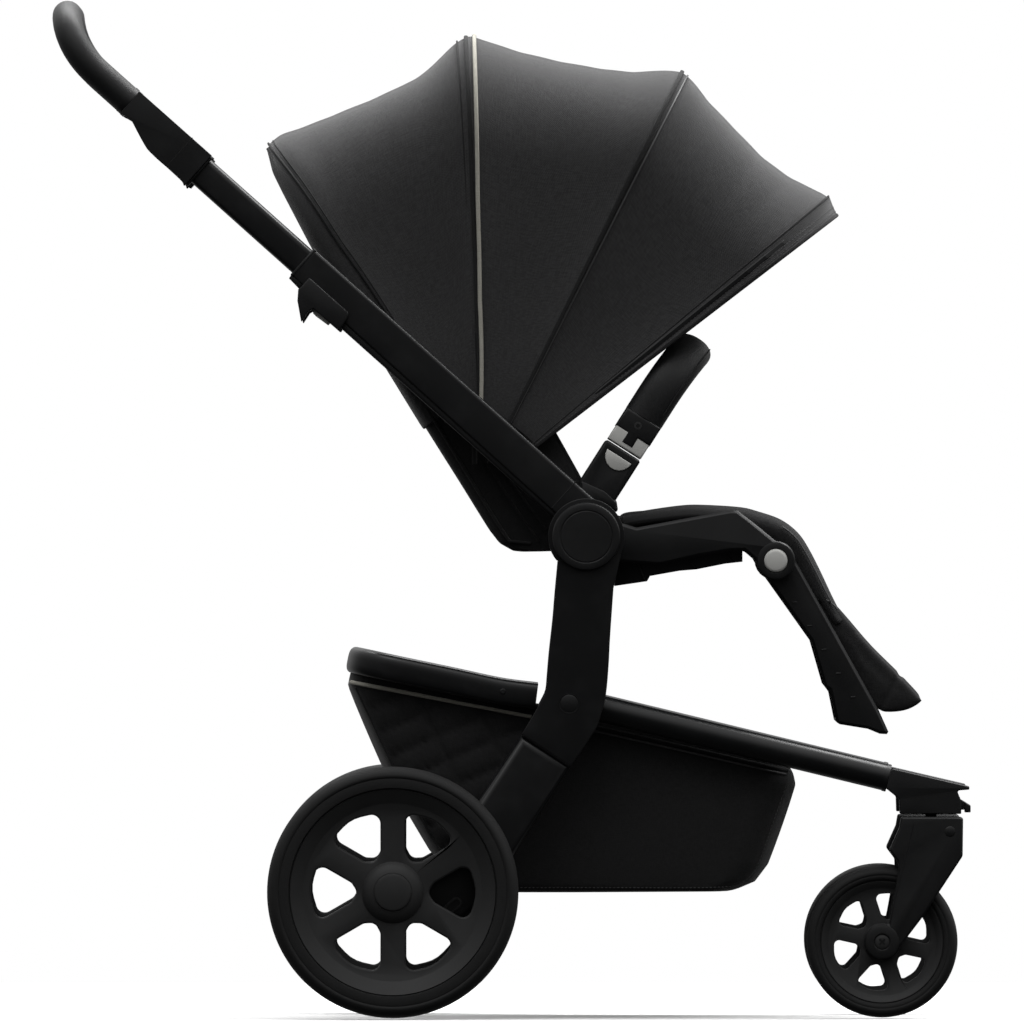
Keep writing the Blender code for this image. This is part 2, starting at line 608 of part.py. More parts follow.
# ------------------------------------------------------------------ pushbar and handle
def make_pushbar():
    """Outer tube with the hub disc at its foot and a deep bore for the slider."""
    disc = BAR_TOP - 0.0003
    lift = degrees(atan2(BAR_BOTTOM, disc))
    outline = [(BAR_LENGTH, BAR_BOTTOM), (BAR_LENGTH, BAR_TOP), (0, BAR_TOP)]
    outline += [(disc * cos(radians(a)), disc * sin(radians(a))) for a in range(105, 346, 15)]
    outline += [(disc * cos(radians(lift)), BAR_BOTTOM)]
    bottom = BAR_LENGTH - SLIDER_INSERT - HEIGHT_TRAVEL - 0.020
    mid = BAR_TOP - BAR_WALL - SLIDER_TALL / 2 - CLEAR
    tall, thick = SLIDER_TALL / 2 + CLEAR, SLIDER_THICK / 2 + CLEAR
    bore = [(bottom, mid - tall), (BAR_LENGTH + 0.02, mid - tall), (BAR_LENGTH + 0.02, mid + tall),
            (bottom, mid + tall)]
    for side, s in SIDES:
        made = piece(f"pushbar_tube_{side}", slab(bar(outline), s * BAR_IN, s * BAR_OUT), "frame_black",
                     "pushbar", 0.005)
        cavity = slab(bar(bore), s * (BAR_MID - thick), s * (BAR_MID + thick))
        tool(f"slider_bore_{side}", cavity, "pushbar", made)
        pin = turned(HUB, [(0, s * (BAR_IN - 0.01)), (HUB_SHANK + RUN, s * (BAR_IN - 0.01)),
                           (HUB_SHANK + RUN, s * (BAR_OUT + 0.01)), (0, s * (BAR_OUT + 0.01))], 20)
        tool(f"pushbar_bore_{side}", pin, "pushbar", made)


def make_triggers():
    """Fold trigger: a saddle under the outer tube with a finger hook."""
    wall, reach = 0.0032, 0.337
    outline = [(reach, BAR_BOTTOM - 0.0035), (reach + 0.003, 0.005), (reach + 0.006, 0.009),
               (reach + 0.061, 0.009), (reach + 0.061, BAR_BOTTOM), (reach + 0.054, BAR_BOTTOM - 0.009),
               (reach + 0.036, BAR_BOTTOM - 0.023), (reach + 0.038, BAR_BOTTOM - 0.010),
               (reach + 0.036, BAR_BOTTOM - 0.004)]
    tunnel = [(reach - 0.01, BAR_BOTTOM - RUN), (reach + 0.09, BAR_BOTTOM - RUN), (reach + 0.09, 0.03),
              (reach - 0.01, 0.03)]
    for side, s in SIDES:
        low, high = s * (BAR_IN - RUN - wall), s * (BAR_OUT + RUN + wall)
        owner = f"fold_trigger_{side}"
        made = piece(f"fold_trigger_{side}", slab(bar(outline), low, high), "plastic_black", owner, 0.001, 1)
        gap = slab(bar(tunnel), s * (BAR_IN - RUN), s * (BAR_OUT + RUN))
        tool(f"trigger_tunnel_{side}", gap, owner, made)


def make_handle():
    """Inner tubes, housings and the cross grip, which slide together."""
    mid = BAR_TOP - BAR_WALL - SLIDER_TALL / 2 - CLEAR
    seam = HOUSING_START + HOUSING_LENGTH
    low, high = BAR_LENGTH - SLIDER_INSERT, HOUSING_START - CLEAR
    tall = SLIDER_TALL / 2
    slider = bar([(low, mid - tall), (high, mid - tall), (high, mid + tall), (low, mid + tall)])
    end = seam - HOUSING_START
    shell = bar([(HOUSING_START, BAR_TOP + 0.0012), (HOUSING_START, -0.0070), (HOUSING_START + 0.004, -0.0048),
                 (HOUSING_START + 0.050, -0.0045), (HOUSING_START + 0.068, -0.0010),
                 (HOUSING_START + 0.5 * end + 0.036, 0.0065), (seam, 0.0048), (seam, BAR_TOP + 0.0012)])
    for side, s in SIDES:
        tube = slab(slider, s * (BAR_MID - SLIDER_THICK / 2), s * (BAR_MID + SLIDER_THICK / 2))
        piece(f"handle_tube_{side}", tube, "frame_black", "handle", 0.003)
        housing = piece(f"handle_housing_{side}", slab(shell, s * (BAR_MID - 0.016), s * (BAR_MID + 0.016)),
                        "plastic_black", "handle", 0.005)
        make_height_button(side, s, housing)
    make_grip(seam + CLEAR, mid + 0.004)


def make_height_button(side, s, housing):
    """Button on the inner face of a housing, in a blind pocket."""
    spot = Vector(bar([(HOUSING_START + 0.052, 0.0150)])[0])
    inner, radius, deep = BAR_MID - 0.016, 0.008, 0.006
    pocket = turned(spot, [(0, s * (inner - 0.01)), (radius + CLEAR, s * (inner - 0.01)),
                           (radius + CLEAR, s * (inner + deep)), (0, s * (inner + deep))], 20)
    tool(f"height_pocket_{side}", pocket, "handle", housing)
    cap = turned(spot, [(0, s * (inner - 0.002)), (radius - 0.001, s * (inner - 0.002)),
                        (radius, s * (inner - 0.001)), (radius, s * (inner + deep - 0.003)),
                        (0, s * (inner + deep - 0.003))], 20)
    piece(f"height_button_{side}", cap, "plastic_grey", f"height_button_{side}")


def make_grip(start, rise):
    """Cross grip, bent in and up from both housings."""
    def spot(s, t, y):
        x, z = bar([(s, t)])[0]
        return Vector((x, y, z))
    bend = start + 0.045
    half = [spot(start, rise, BAR_MID)]
    half += bezier(spot(bend, rise, BAR_MID), spot(bend + 0.046, rise, BAR_MID),
                   spot(GRIP_REACH, GRIP_RISE, BAR_MID), spot(GRIP_REACH, GRIP_RISE, BAR_MID - 0.075), 8)
    side_way = Vector(bar([(0, 1)])[0]) - Vector(HUB)
    grip = swept(mirrored(half), oval(GRIP_RADIUS * 2, GRIP_RADIUS * 2, 14, 1), (side_way.x, 0, side_way.y))
    piece("handle_grip", grip, "grip_leather", "handle")


# ------------------------------------------------------------------ seat unit
def make_seat_frame():
    """Side rails from the hub to the knee with a ribbed pan between them, in one moulding."""
    disc = 0.029
    hx, hz = HUB
    kx, kz = KNEE
    outline = arc(HUB, disc, 40, 300)
    outline += [Vector(p) for p in ((hx + 0.0770, hz - 0.0300), (hx + 0.1190, hz - 0.0205),
                                    (hx + 0.1500, hz - 0.0152), (hx + 0.1660, hz - 0.0145))]
    outline += arc(KNEE, 0.0205, 180, 450)
    outline += [Vector(p) for p in ((kx - 0.0250, kz + 0.0410), (kx - 0.0400, kz + 0.0525),
                                    (kx - 0.0480, kz + 0.0530), (hx + 0.0670, hz + 0.0120),
                                    (hx + 0.0530, hz + 0.0095))]
    made = piece("seat_frame", slab(outline, -RAIL_OUT, RAIL_OUT), "plastic_black", "seat", 0.003)
    middle = [(hx - 0.1, hz - 0.1), (kx + 0.1, hz - 0.1), (kx + 0.1, hz + 0.1), (hx - 0.1, hz + 0.1)]
    tool("seat_middle", slab(middle, -RAIL_IN, RAIL_IN), "seat", made)
    end = kx - 0.0350
    pan = [(hx + 0.030, hz - 0.0145), (hx + 0.030, hz - 0.0520), (hx + 0.064, hz - 0.0470), (hx + 0.067, hz - 0.0415),
           (hx + 0.098, hz - 0.0360), (hx + 0.116, hz - 0.0345), (hx + 0.146, hz - 0.0285), (end, hz - 0.0265),
           (end, hz - 0.0145)]
    tool("seat_pan", slab(pan, -RAIL_IN - 0.002, RAIL_IN + 0.002), "seat", made, "UNION")
    for side, s in SIDES:
        pocket = turned(KNEE, [(0, s * (RAIL_OUT + 0.01)), (0.0127, s * (RAIL_OUT + 0.01)),
                               (0.0127, s * (RAIL_OUT - 0.012)), (0, s * (RAIL_OUT - 0.012))], 24)
        tool(f"knee_pocket_{side}", pocket, "seat", made)
        cap = turned(KNEE, [(0, s * (RAIL_OUT - 0.008)), (0.0124, s * (RAIL_OUT - 0.008)),
                            (0.0124, s * (RAIL_OUT + 0.0012)), (0.0112, s * (RAIL_OUT + 0.0024)),
                            (0, s * (RAIL_OUT + 0.0024))], 24)
        piece(f"legrest_button_{side}", cap, "plastic_grey", f"legrest_button_{side}")


def make_buckle():
    """Harness buckle lying on the seat pad."""
    x, z = HUB_X + 0.019, HUB_Z + 0.0315
    outline = rounded([(x - 0.015, z - 0.008, 0.003), (x + 0.015, z - 0.0055, 0.003), (x + 0.013, z + 0.0085, 0.005),
                       (x - 0.013, z + 0.0085, 0.005)])
    piece("harness_buckle", slab(outline, -0.022, 0.022), "plastic_black", "seat", 0.003)


def make_seat_cushion():
    """Seat pad between the rails."""
    hx, hz = HUB
    kx, kz = KNEE
    half = RAIL_IN - 0.004
    pad = rounded([(hx + 0.022, hz - 0.012, 0.006), (hx + 0.016, hz + 0.020, 0.008), (hx + 0.120, hz + 0.030, 0.10),
                   (kx - 0.020, kz + 0.050, 0.02), (kx + 0.016, kz + 0.036, 0.01), (kx + 0.024, kz + 0.018, 0.004),
                   (kx, kz + 0.0225, 0.004), (kx - 0.034, kz + 0.014, 0.01), (hx + 0.100, hz - 0.006, 0.02)])
    piece("seat_cushion", slab(pad, -half, half), "seat_fabric", "seat", 0.006)


def make_legrest():
    """Leg rest tray that hangs from the knee, and the calf pad on it."""
    kx, kz = KNEE
    half = RAIL_IN - 0.004
    outline = arc(KNEE, 0.0185, 20, 225)
    outline += [Vector(p) for p in ((kx + 0.0375, kz - 0.0844), (kx + 0.0514, kz - 0.1327),
                                    (kx + 0.0567, kz - 0.1358), (kx + 0.0640, kz - 0.1715),
                                    (kx + 0.0966, kz - 0.1768), (kx + 0.1092, kz - 0.1820),
                                    (kx + 0.1197, kz - 0.1826), (kx + 0.1081, kz - 0.1568))]
    made = piece("legrest_frame", slab(outline, -half, half), "plastic_black", "legrest", 0.003)
    inside = [(kx - 0.050, kz - 0.020), (kx - 0.050, kz + 0.030), (kx + 0.0115, kz + 0.030), (kx + 0.0115, kz - 0.0125),
              (kx + 0.0980, kz - 0.1568), (kx + 0.0980, kz - 0.1680), (kx + 0.0567, kz - 0.1660),
              (kx - 0.050, kz - 0.160)]
    tool("legrest_hollow", slab(inside, -half + 0.014, half - 0.014), "legrest", made)
    pad = rounded([(kx + 0.0440, kz - 0.0370, 0.003), (kx + 0.0600, kz - 0.0430, 0.010), (kx + 0.0720, kz - 0.0580, 0.03),
                   (kx + 0.1535, kz - 0.1475, 0.003), (kx + 0.1380, kz - 0.1575, 0.006),
                   (kx + 0.1120, kz - 0.1580, 0.003)])
    piece("calf_pad", slab(pad, -half + 0.006, half - 0.006), "seat_fabric", "legrest", 0.004)


def back_spot(s, t, y):
    """Point up along the seat back's rear line, forwards from it, and across."""
    x, z = along(BACK_FOOT, BACK_ANGLE, [(s, t)])[0]
    return Vector((x, y, z))


def back_half(s, margin):
    """Half width of the seat back, which rounds off at its top."""
    centre = HOOP_HALF - HOOP_CORNER
    radius = HOOP_CORNER - (HOOP_HALF - WING_OUT)
    over = max(0.0, s - (BACK_LENGTH - radius))
    return centre + (max(radius * radius - over * over, 0.0)) ** 0.5 - margin


def make_backrest():
    """Bucket-shaped seat back: rear panel with side wings, and the pad inside it."""
    wall, soft = WING_WALL, 0.014
    shape = [(-0.010, -0.044, 0.066), (0.002, -0.008, 0.096), (0.034, 0.032, 0.108), (0.080, 0.080, 0.108),
             (0.165, 0.165, 0.106), (0.250, 0.250, 0.090), (BACK_LENGTH - 0.095, BACK_LENGTH - 0.095, 0.060),
             (BACK_LENGTH - 0.060, BACK_LENGTH - 0.060, 0.046), (BACK_LENGTH - 0.028, BACK_LENGTH - 0.028, 0.036),
             (BACK_LENGTH - 0.008, BACK_LENGTH - 0.008, 0.028), (BACK_LENGTH, BACK_LENGTH, 0.022)]
    rings = []
    for rear, front, deep in shape:
        half = back_half(rear, 0.0)
        outside = [(half, deep), (half, soft), (half - 0.3 * soft, 0.3 * soft), (half - soft, 0)]
        inside = [(half - wall - 0.5 * soft, wall), (half - wall, wall + 0.5 * soft), (half - wall, deep)]
        section = outside + [(-y, t) for y, t in reversed(outside)] + [(-y, t) for y, t in reversed(inside)]
        section += inside
        rings.append([back_spot(rear + (front - rear) * t / deep, t, y) for y, t in section])
    piece("backrest_shell", loft(rings), "seat_fabric", "backrest")
    rings = []
    for s, low, high in ((0.024, 0.018, 0.040), (0.034, 0.011, 0.046), (0.120, 0.010, 0.046),
                         (BACK_LENGTH - 0.090, 0.010, 0.036), (BACK_LENGTH - 0.055, 0.010, 0.032),
                         (BACK_LENGTH - 0.030, 0.010, 0.026), (BACK_LENGTH - 0.018, 0.012, 0.020)):
        half = back_half(s + 0.010, wall + 0.002)
        section = [(half, (low + high) / 2), (half - 0.010, high), (0, high), (-half + 0.010, high),
                   (-half, (low + high) / 2), (-half + 0.010, low), (0, low), (half - 0.010, low)]
        rings.append([back_spot(s, t, y) for y, t in section])
    piece("back_pad", loft(rings), "seat_fabric", "backrest")


def hoop_path(index, layer, low, count=7):
    """Left half of a canopy hoop: up from the pivot, round a corner, to the middle."""
    angle, reach = radians(HOOP_ANGLES[index]), HOOP_REACH[index]
    corner = HOOP_CORNER
    half = [(layer, low), (layer, 0.115), (HOOP_HALF, 0.165)]
    steps = [(HOOP_HALF - corner + corner * cos(radians(a)), reach - corner + corner * sin(radians(a)))
             for a in [90 * k / count for k in range(count + 1)]]
    points = half + steps + [(0.0, reach)]
    return [Vector((CANOPY_X + r * cos(angle), y, CANOPY_Z + r * sin(angle))) for y, r in points]


def make_canopy():
    """Three hoops that turn about one pivot, and the fabric panels between them."""
    names = ("canopy_rear", "canopy_middle", "canopy_front")
    for k, name in enumerate(names):
        normal = Vector((-sin(radians(HOOP_ANGLES[k + 1])), 0, cos(radians(HOOP_ANGLES[k + 1]))))
        layer = HOOP_HALF - (HOOP_THICK + RUN) * k
        path = mirrored(hoop_path(k + 1, layer, 0.030 + 0.004 * k))
        hoop = swept(path, oval(HOOP_TALL, HOOP_THICK, 8, 0.6), normal)
        piece(f"{name}_hoop", hoop, "frame_black", name)
    owners = ("backrest",) + names
    sags = (0.014, 0.010, 0.015)
    for k in range(3):
        bm = canopy_panel(k, sags[k])
        piece(f"canopy_panel_{('rear', 'middle', 'front')[k]}", bm, "canopy_fabric", owners[k])


def canopy_panel(index, sag, across=6):
    """Curved sheet between two neighbouring hoops, thin and closed."""
    inset, low = HOOP_TALL / 2 + 0.0008, PANEL_LOW
    start, end = HOOP_ANGLES[index], HOOP_ANGLES[index + 1]
    corner = HOOP_CORNER

    def sheet(thin):
        """Rows of points at a depth below the outer face."""
        rows = []
        for j in range(across + 1):
            v = j / across
            reach = HOOP_REACH[index] * (1 - v) + HOOP_REACH[index + 1] * v - thin
            half = HOOP_HALF - thin
            dip = sag * 4 * v * (1 - v)
            ring = [(half, low - thin), (half, 2.2 * low), (half, reach - corner)]
            ring += [(half - corner + corner * cos(radians(a)), reach - corner + corner * sin(radians(a)))
                     for a in (22.5, 45, 67.5, 90)]
            ring += [(0.0, reach)] + [(-y, r) for y, r in reversed(ring)]
            row = []
            for y, r in ring:
                share = max(0.0, (r - low) / (reach - low))
                radius = r - dip * share * share
                y = y * (1 - 0.35 * dip * (1 - share) / half)
                edge = degrees(inset / radius)
                angle = radians((start - edge) * (1 - v) + (end + edge) * v)
                row.append(Vector((CANOPY_X + radius * cos(angle), y, CANOPY_Z + radius * sin(angle))))
            rows.append(row)
        return rows
    outside, inside = sheet(0.0), sheet(FABRIC)
    rings = [a + list(reversed(b)) for a, b in zip(outside, inside)]
    return loft(rings)


def make_bumper():
    """Bumper bar, its two sockets on the seat rails and their release buttons."""
    hx, hz = HUB
    foot = (hx + 0.0391, hz + 0.0909)
    ahead = Vector((cos(radians(BUMPER_ANGLE)), 0, sin(radians(BUMPER_ANGLE))))
    normal = Vector((-ahead.z, 0, ahead.x))
    y = SEAT_HALF - 0.0035 - BUMPER_THICK / 2
    start = Vector((foot[0], y, foot[1])) + ahead * (RUN + CLEAR)
    bend = start + ahead * 0.062
    top = start + ahead * 0.126 + normal * -0.004
    end = Vector((top.x, y - 0.062, top.z))
    half = [start] + bezier(bend, bend + ahead * 0.040, end + Vector((0, 0.040, 0)), end, 7)
    bar_solid = swept(mirrored(half), oval(BUMPER_WIDE, BUMPER_THICK, 12, 0.7), normal)
    piece("bumper_bar", bar_solid, "grip_leather", "bumper")
    w = BUMPER_WIDE / 2
    socket = [(0, w), (-0.050, w), (-0.0740, w - 0.008), (-0.0630, 0.006), (-0.0560, -w), (0, -w)]
    outline = along_line(foot, BUMPER_ANGLE, socket)
    button_at = along_line(foot, BUMPER_ANGLE, [(-0.008, 0)])[0]
    for side, s in SIDES:
        made = piece(f"bumper_socket_{side}", slab(outline, s * RAIL_IN, s * (RAIL_OUT - 0.001)),
                     "plastic_black", "seat", 0.002, 1)
        moon = arc(button_at, 0.0150, BUMPER_ANGLE + 90, BUMPER_ANGLE + 270, 20)
        hole = arc(button_at, 0.0150 + CLEAR, BUMPER_ANGLE + 90, BUMPER_ANGLE + 270, 20)
        hole = [p + Vector((ahead.x, ahead.z)) * CLEAR if k in (0, len(hole) - 1) else p
                for k, p in enumerate(hole)]
        pocket = slab(hole, s * (RAIL_OUT - 0.009), s * (RAIL_OUT + 0.01))
        tool(f"moon_pocket_{side}", pocket, "seat", made)
        button = slab(moon, s * (RAIL_OUT - 0.005), s * (RAIL_OUT + 0.001))
        piece(f"bumper_button_{side}", button, "plastic_grey", f"bumper_button_{side}")


def main():
    """Clear the scene and build every piece."""
    for old in list(bpy.data.objects):
        bpy.data.objects.remove(old, do_unlink=True)
    make_bodies()
    make_uprights()
    make_legs()
    make_hub_caps()
    make_rear_axle()
    make_brake()
    make_rear_wheels()
    make_front_frame()
    make_basket()
    make_forks()
    make_front_wheels()
    make_pushbar()
    make_triggers()
    make_handle()
    make_seat_frame()
    make_seat_cushion()
    make_buckle()
    make_legrest()
    make_backrest()
    make_canopy()
    make_bumper()


main()
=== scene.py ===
"""Finished surfaces, fabrics and trims of a baby stroller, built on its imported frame.

Metres, +Z up, +X forwards, +Y to the stroller's left. Every piece is made in place,
so its object stays at the origin. A piece of the left side is made at +y and its twin
is the mirror image at -y.
"""

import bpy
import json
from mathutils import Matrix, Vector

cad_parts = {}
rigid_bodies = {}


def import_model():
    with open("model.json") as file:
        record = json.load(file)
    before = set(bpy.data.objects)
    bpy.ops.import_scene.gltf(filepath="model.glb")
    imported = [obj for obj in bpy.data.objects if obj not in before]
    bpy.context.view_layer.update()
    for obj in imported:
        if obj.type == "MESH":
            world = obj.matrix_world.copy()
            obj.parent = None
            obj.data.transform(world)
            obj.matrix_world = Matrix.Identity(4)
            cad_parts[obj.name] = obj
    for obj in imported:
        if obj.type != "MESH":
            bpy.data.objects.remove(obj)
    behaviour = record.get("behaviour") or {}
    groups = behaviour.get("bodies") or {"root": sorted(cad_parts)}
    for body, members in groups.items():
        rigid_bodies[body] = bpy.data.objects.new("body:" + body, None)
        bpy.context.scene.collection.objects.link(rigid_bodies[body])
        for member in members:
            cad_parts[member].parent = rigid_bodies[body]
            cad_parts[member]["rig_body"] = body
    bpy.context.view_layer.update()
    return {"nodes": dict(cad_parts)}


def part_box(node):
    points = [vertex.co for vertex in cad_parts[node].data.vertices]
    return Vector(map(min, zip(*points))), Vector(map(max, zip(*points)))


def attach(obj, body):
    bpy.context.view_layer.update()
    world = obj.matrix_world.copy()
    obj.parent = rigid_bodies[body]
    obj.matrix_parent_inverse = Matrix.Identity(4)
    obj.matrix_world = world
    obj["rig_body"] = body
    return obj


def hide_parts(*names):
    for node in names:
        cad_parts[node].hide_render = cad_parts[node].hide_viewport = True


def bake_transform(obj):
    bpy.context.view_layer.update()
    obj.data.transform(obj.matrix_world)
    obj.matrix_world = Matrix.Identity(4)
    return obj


bl_info = {
    "name": "Baby Stroller Finish",
    "version": (1, 0, 0),
    "blender": (4, 5, 0),
    "location": "View3D > Sidebar > Stroller",
    "description": "Builds a stroller's fabrics, wheels, tubes and trims on its frame",
    "category": "Object",
}

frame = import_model()

import json
from math import atan2, ceil, cos, degrees, pi, radians, sin, sqrt, tan

import bmesh
import bpy
from bpy.props import BoolProperty, FloatProperty, FloatVectorProperty, IntProperty, PointerProperty
from mathutils import Matrix, Vector, noise

# ------------------------------------------------------------------ places in the frame
SIDES = (("left", 1), ("right", -1))


def middle(node):
    """Centre of a CAD node's box."""
    low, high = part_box(node)
    return (low + high) / 2


HUB = middle("hub_cap_left").xz
REAR = middle("rear_tyre_left").xz
FRONT = middle("front_tyre_left").xz
KNEE = middle("legrest_button_left").xz
LEG_IN, LEG_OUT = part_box("leg_tube_left")[0].y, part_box("leg_tube_left")[1].y
BAR_IN, BAR_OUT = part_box("pushbar_tube_left")[0].y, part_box("pushbar_tube_left")[1].y
BAR_MID = (BAR_IN + BAR_OUT) / 2
REAR_MID = middle("rear_tyre_left").y
RAIL_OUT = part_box("seat_frame")[1].y
PAD_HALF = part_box("seat_cushion")[1].y
ELBOW = Vector((0.060, 0.330))
CANOPY = Vector((-0.039, 0.551))
BAR_ANGLE = 138.2       # pushbar's line, in degrees from straight ahead
BACK_ANGLE = 121.0      # seat back's rear line
BUMPER_ANGLE = 57.5
BACK_FOOT = Vector((-0.0137, 0.4951))
BACK_LENGTH = 0.462
HOOP_ANGLES = (120.0, 90.6, 63.8, 39.0)
BUMPER_FOOT = Vector((0.1171, 0.5959))


# ------------------------------------------------------------------ settings
class StrollerFinish(bpy.types.PropertyGroup):
    """Colours and surface sizes."""
    frame_colour: FloatVectorProperty(
        name="Frame", description="Satin coat of the tubes and joints", subtype="COLOR",
        default=(0.0064, 0.0066, 0.0070), min=0, max=1)
    wheel_colour: FloatVectorProperty(
        name="Wheels", description="Moulded plastic of the rims", subtype="COLOR",
        default=(0.0200, 0.0202, 0.0205), min=0, max=1)
    canopy_colour: FloatVectorProperty(
        name="Canopy", description="Linen weave of the canopy and its seams", subtype="COLOR",
        default=(0.0310, 0.0308, 0.0316), min=0, max=1)
    seat_colour: FloatVectorProperty(
        name="Seat", description="Weave of the seat, its pads and the basket", subtype="COLOR",
        default=(0.0125, 0.0125, 0.0129), min=0, max=1)
    piping_colour: FloatVectorProperty(
        name="Piping", description="Pale piping on canopy and basket", subtype="COLOR",
        default=(0.33, 0.32, 0.28), min=0, max=1)
    button_colour: FloatVectorProperty(
        name="Buttons", description="Pale plastic of the buttons and latches", subtype="COLOR",
        default=(0.50, 0.50, 0.48), min=0, max=1)
    weave: FloatProperty(
        name="Thread pitch", description="Distance between two threads of the weave",
        default=0.0011, min=0.0004, max=0.005, unit="LENGTH")
    tube_rounding: FloatProperty(
        name="Tube rounding", description="Radius on the long edges of the flat tubes",
        default=0.009, min=0.001, max=0.012, unit="LENGTH")


class StrollerSewing(bpy.types.PropertyGroup):
    """Seams, piping and padding."""
    piping: FloatProperty(
        name="Piping", description="Thickness of the pale piping",
        default=0.0046, min=0.001, max=0.01, unit="LENGTH")
    seam: FloatProperty(
        name="Seam", description="Thickness of the dark seam cords",
        default=0.0026, min=0.001, max=0.01, unit="LENGTH")
    stitch: FloatProperty(
        name="Stitch", description="Distance from one stitch to the next",
        default=0.0042, min=0.002, max=0.02, unit="LENGTH")
    quilt: FloatProperty(
        name="Quilting", description="Narrow side of a quilted field on the basket",
        default=0.0275, min=0.01, max=0.1, unit="LENGTH")
    swell: FloatProperty(
        name="Padding", description="How far the padding may push the fabric out",
        default=0.008, min=0.0, max=0.02, unit="LENGTH")
    inflate: BoolProperty(
        name="Inflate pads", description="Run the cloth simulation on the pads",
        default=True)


class StrollerStudio(bpy.types.PropertyGroup):
    """Camera and light."""
    distance: FloatProperty(
        name="Distance", description="Camera to the stroller's near side",
        default=45.0, min=2, max=200, unit="LENGTH")
    width: FloatProperty(
        name="Frame width", description="Width of the view at the stroller's near side",
        default=1.0752, min=0.2, max=10, unit="LENGTH")
    height: FloatProperty(
        name="Eye height", description="Height of the camera above the floor",
        default=0.5308, min=0, max=3, unit="LENGTH")
    brightness: FloatProperty(
        name="Light", description="Strength of all lights together",
        default=1.0, min=0, max=10)
    sides: IntProperty(
        name="Floor sides", description="Sides of the round floor", default=96, min=12, max=256)


# ------------------------------------------------------------------ outlines
def polar(centre, radius, angle):
    """Point at an angle in degrees around a centre."""
    return Vector((centre[0] + radius * cos(radians(angle)), centre[1] + radius * sin(radians(angle))))


def arc(centre, radius, start, end, step=6):
    """Points of an arc from one angle to another, in degrees."""
    count = max(2, ceil(abs(end - start) / step))
    return [polar(centre, radius, start + (end - start) * k / count) for k in range(count + 1)]


def rounded(corners, step=10):
    """Outline through (x, z, radius) corners, each turned into an arc that its sides have room for."""
    outline = []
    for i, (x, z, radius) in enumerate(corners):
        here = Vector((x, z))
        before = Vector(corners[i - 1][:2]) - here
        after = Vector(corners[(i + 1) % len(corners)][:2]) - here
        angle = before.angle(after)
        if radius <= 0 or pi - angle < radians(3):
            outline.append(here)
            continue
        reach = min(radius / tan(angle / 2), 0.49 * before.length, 0.49 * after.length)
        radius = reach * tan(angle / 2)
        centre = here + (before.normalized() + after.normalized()).normalized() * radius / sin(angle / 2)
        first = here + before.normalized() * reach - centre
        last = here + after.normalized() * reach - centre
        turn = atan2(first.cross(last), first.dot(last))
        count = max(2, ceil(abs(turn) / radians(step)))
        outline += [centre + Matrix.Rotation(turn * k / count, 2) @ first for k in range(count + 1)]
    return outline


def along(origin, angle, points):
    """Points (s, t) laid along a line and to its upper side."""
    ahead = Vector((cos(radians(angle)), sin(radians(angle))))
    up = Vector((-ahead.y, ahead.x)) if ahead.x > 0 else Vector((ahead.y, -ahead.x))
    return [Vector(origin) + ahead * s + up * t for s, t in points]


def bar(points):
    """Points given along the pushbar."""
    return along(HUB, BAR_ANGLE, points)


def curve(stops, count):
    """Smooth line through the stops, given as evenly counted points."""
    stops = [Vector(p) for p in stops]
    line = []
    for k in range(count + 1):
        place = (len(stops) - 1) * k / count
        i = min(int(place), len(stops) - 2)
        t = place - i
        a, b = stops[i], stops[i + 1]
        before = stops[i - 1] if i else a * 2 - b
        after = stops[i + 2] if i + 2 < len(stops) else b * 2 - a
        line.append(0.5 * ((2 * a) + (b - before) * t + (2 * before - 5 * a + 4 * b - after) * t * t
                           + (3 * a - before - 3 * b + after) * t ** 3))
    return line


def evened(line, count):
    """The same line with its points at equal distances."""
    line = [Vector(p) for p in line]
    reach = [0.0]
    for a, b in zip(line, line[1:]):
        reach.append(reach[-1] + (b - a).length)
    made, i = [], 0
    for k in range(count + 1):
        want = reach[-1] * k / count
        while i < len(line) - 2 and reach[i + 1] < want:
            i += 1
        share = (want - reach[i]) / max(reach[i + 1] - reach[i], 1e-12)
        made.append(line[i].lerp(line[i + 1], clamped(share)))
    return made


def length_of(line):
    """Length of a line of points."""
    return sum((Vector(b) - Vector(a)).length for a, b in zip(line, line[1:]))


def clamped(share):
    """A share kept between 0 and 1."""
    return min(1.0, max(0.0, share))


def read_off(table, place):
    """Value between the rows of a (place, value) table, smoothly joined."""
    for (a, low), (b, high) in zip(table, table[1:]):
        if place <= b:
            t = clamped((place - a) / (b - a))
            return low + (high - low) * t
    return table[-1][1]


def side_path(points, y):
    """Side-view points set at a distance from the middle."""
    return [Vector((p[0], y, p[1])) for p in points]


def across_path(half):
    """Path of a left half, and on to its right twin."""
    half = [Vector(p) for p in half]
    twin = [Vector((p.x, -p.y, p.z)) for p in reversed(half)]
    return half + (twin[1:] if abs(half[-1].y) < 1e-7 else twin)


# ------------------------------------------------------------------ shapes
def solid(outline, low, high, edge=0.0, steps=3):
    """Side-view outline drawn out in y, with its two rims rounded."""
    bm = bmesh.new()
    face = bm.faces.new([bm.verts.new((p[0], low, p[1])) for p in outline])
    grown = bmesh.ops.extrude_face_region(bm, geom=[face])
    moved = [v for v in grown["geom"] if isinstance(v, bmesh.types.BMVert)]
    bmesh.ops.translate(bm, verts=moved, vec=(0, high - low, 0))
    bmesh.ops.recalc_face_normals(bm, faces=bm.faces)
    if edge:
        rims = [e for e in bm.edges if abs(e.verts[0].co.y - e.verts[1].co.y) < 1e-7]
        bmesh.ops.bevel(bm, geom=rims, offset=edge, offset_type="OFFSET", segments=steps, profile=0.5,
                        affect="EDGES", clamp_overlap=True, material=-1)
    return bm


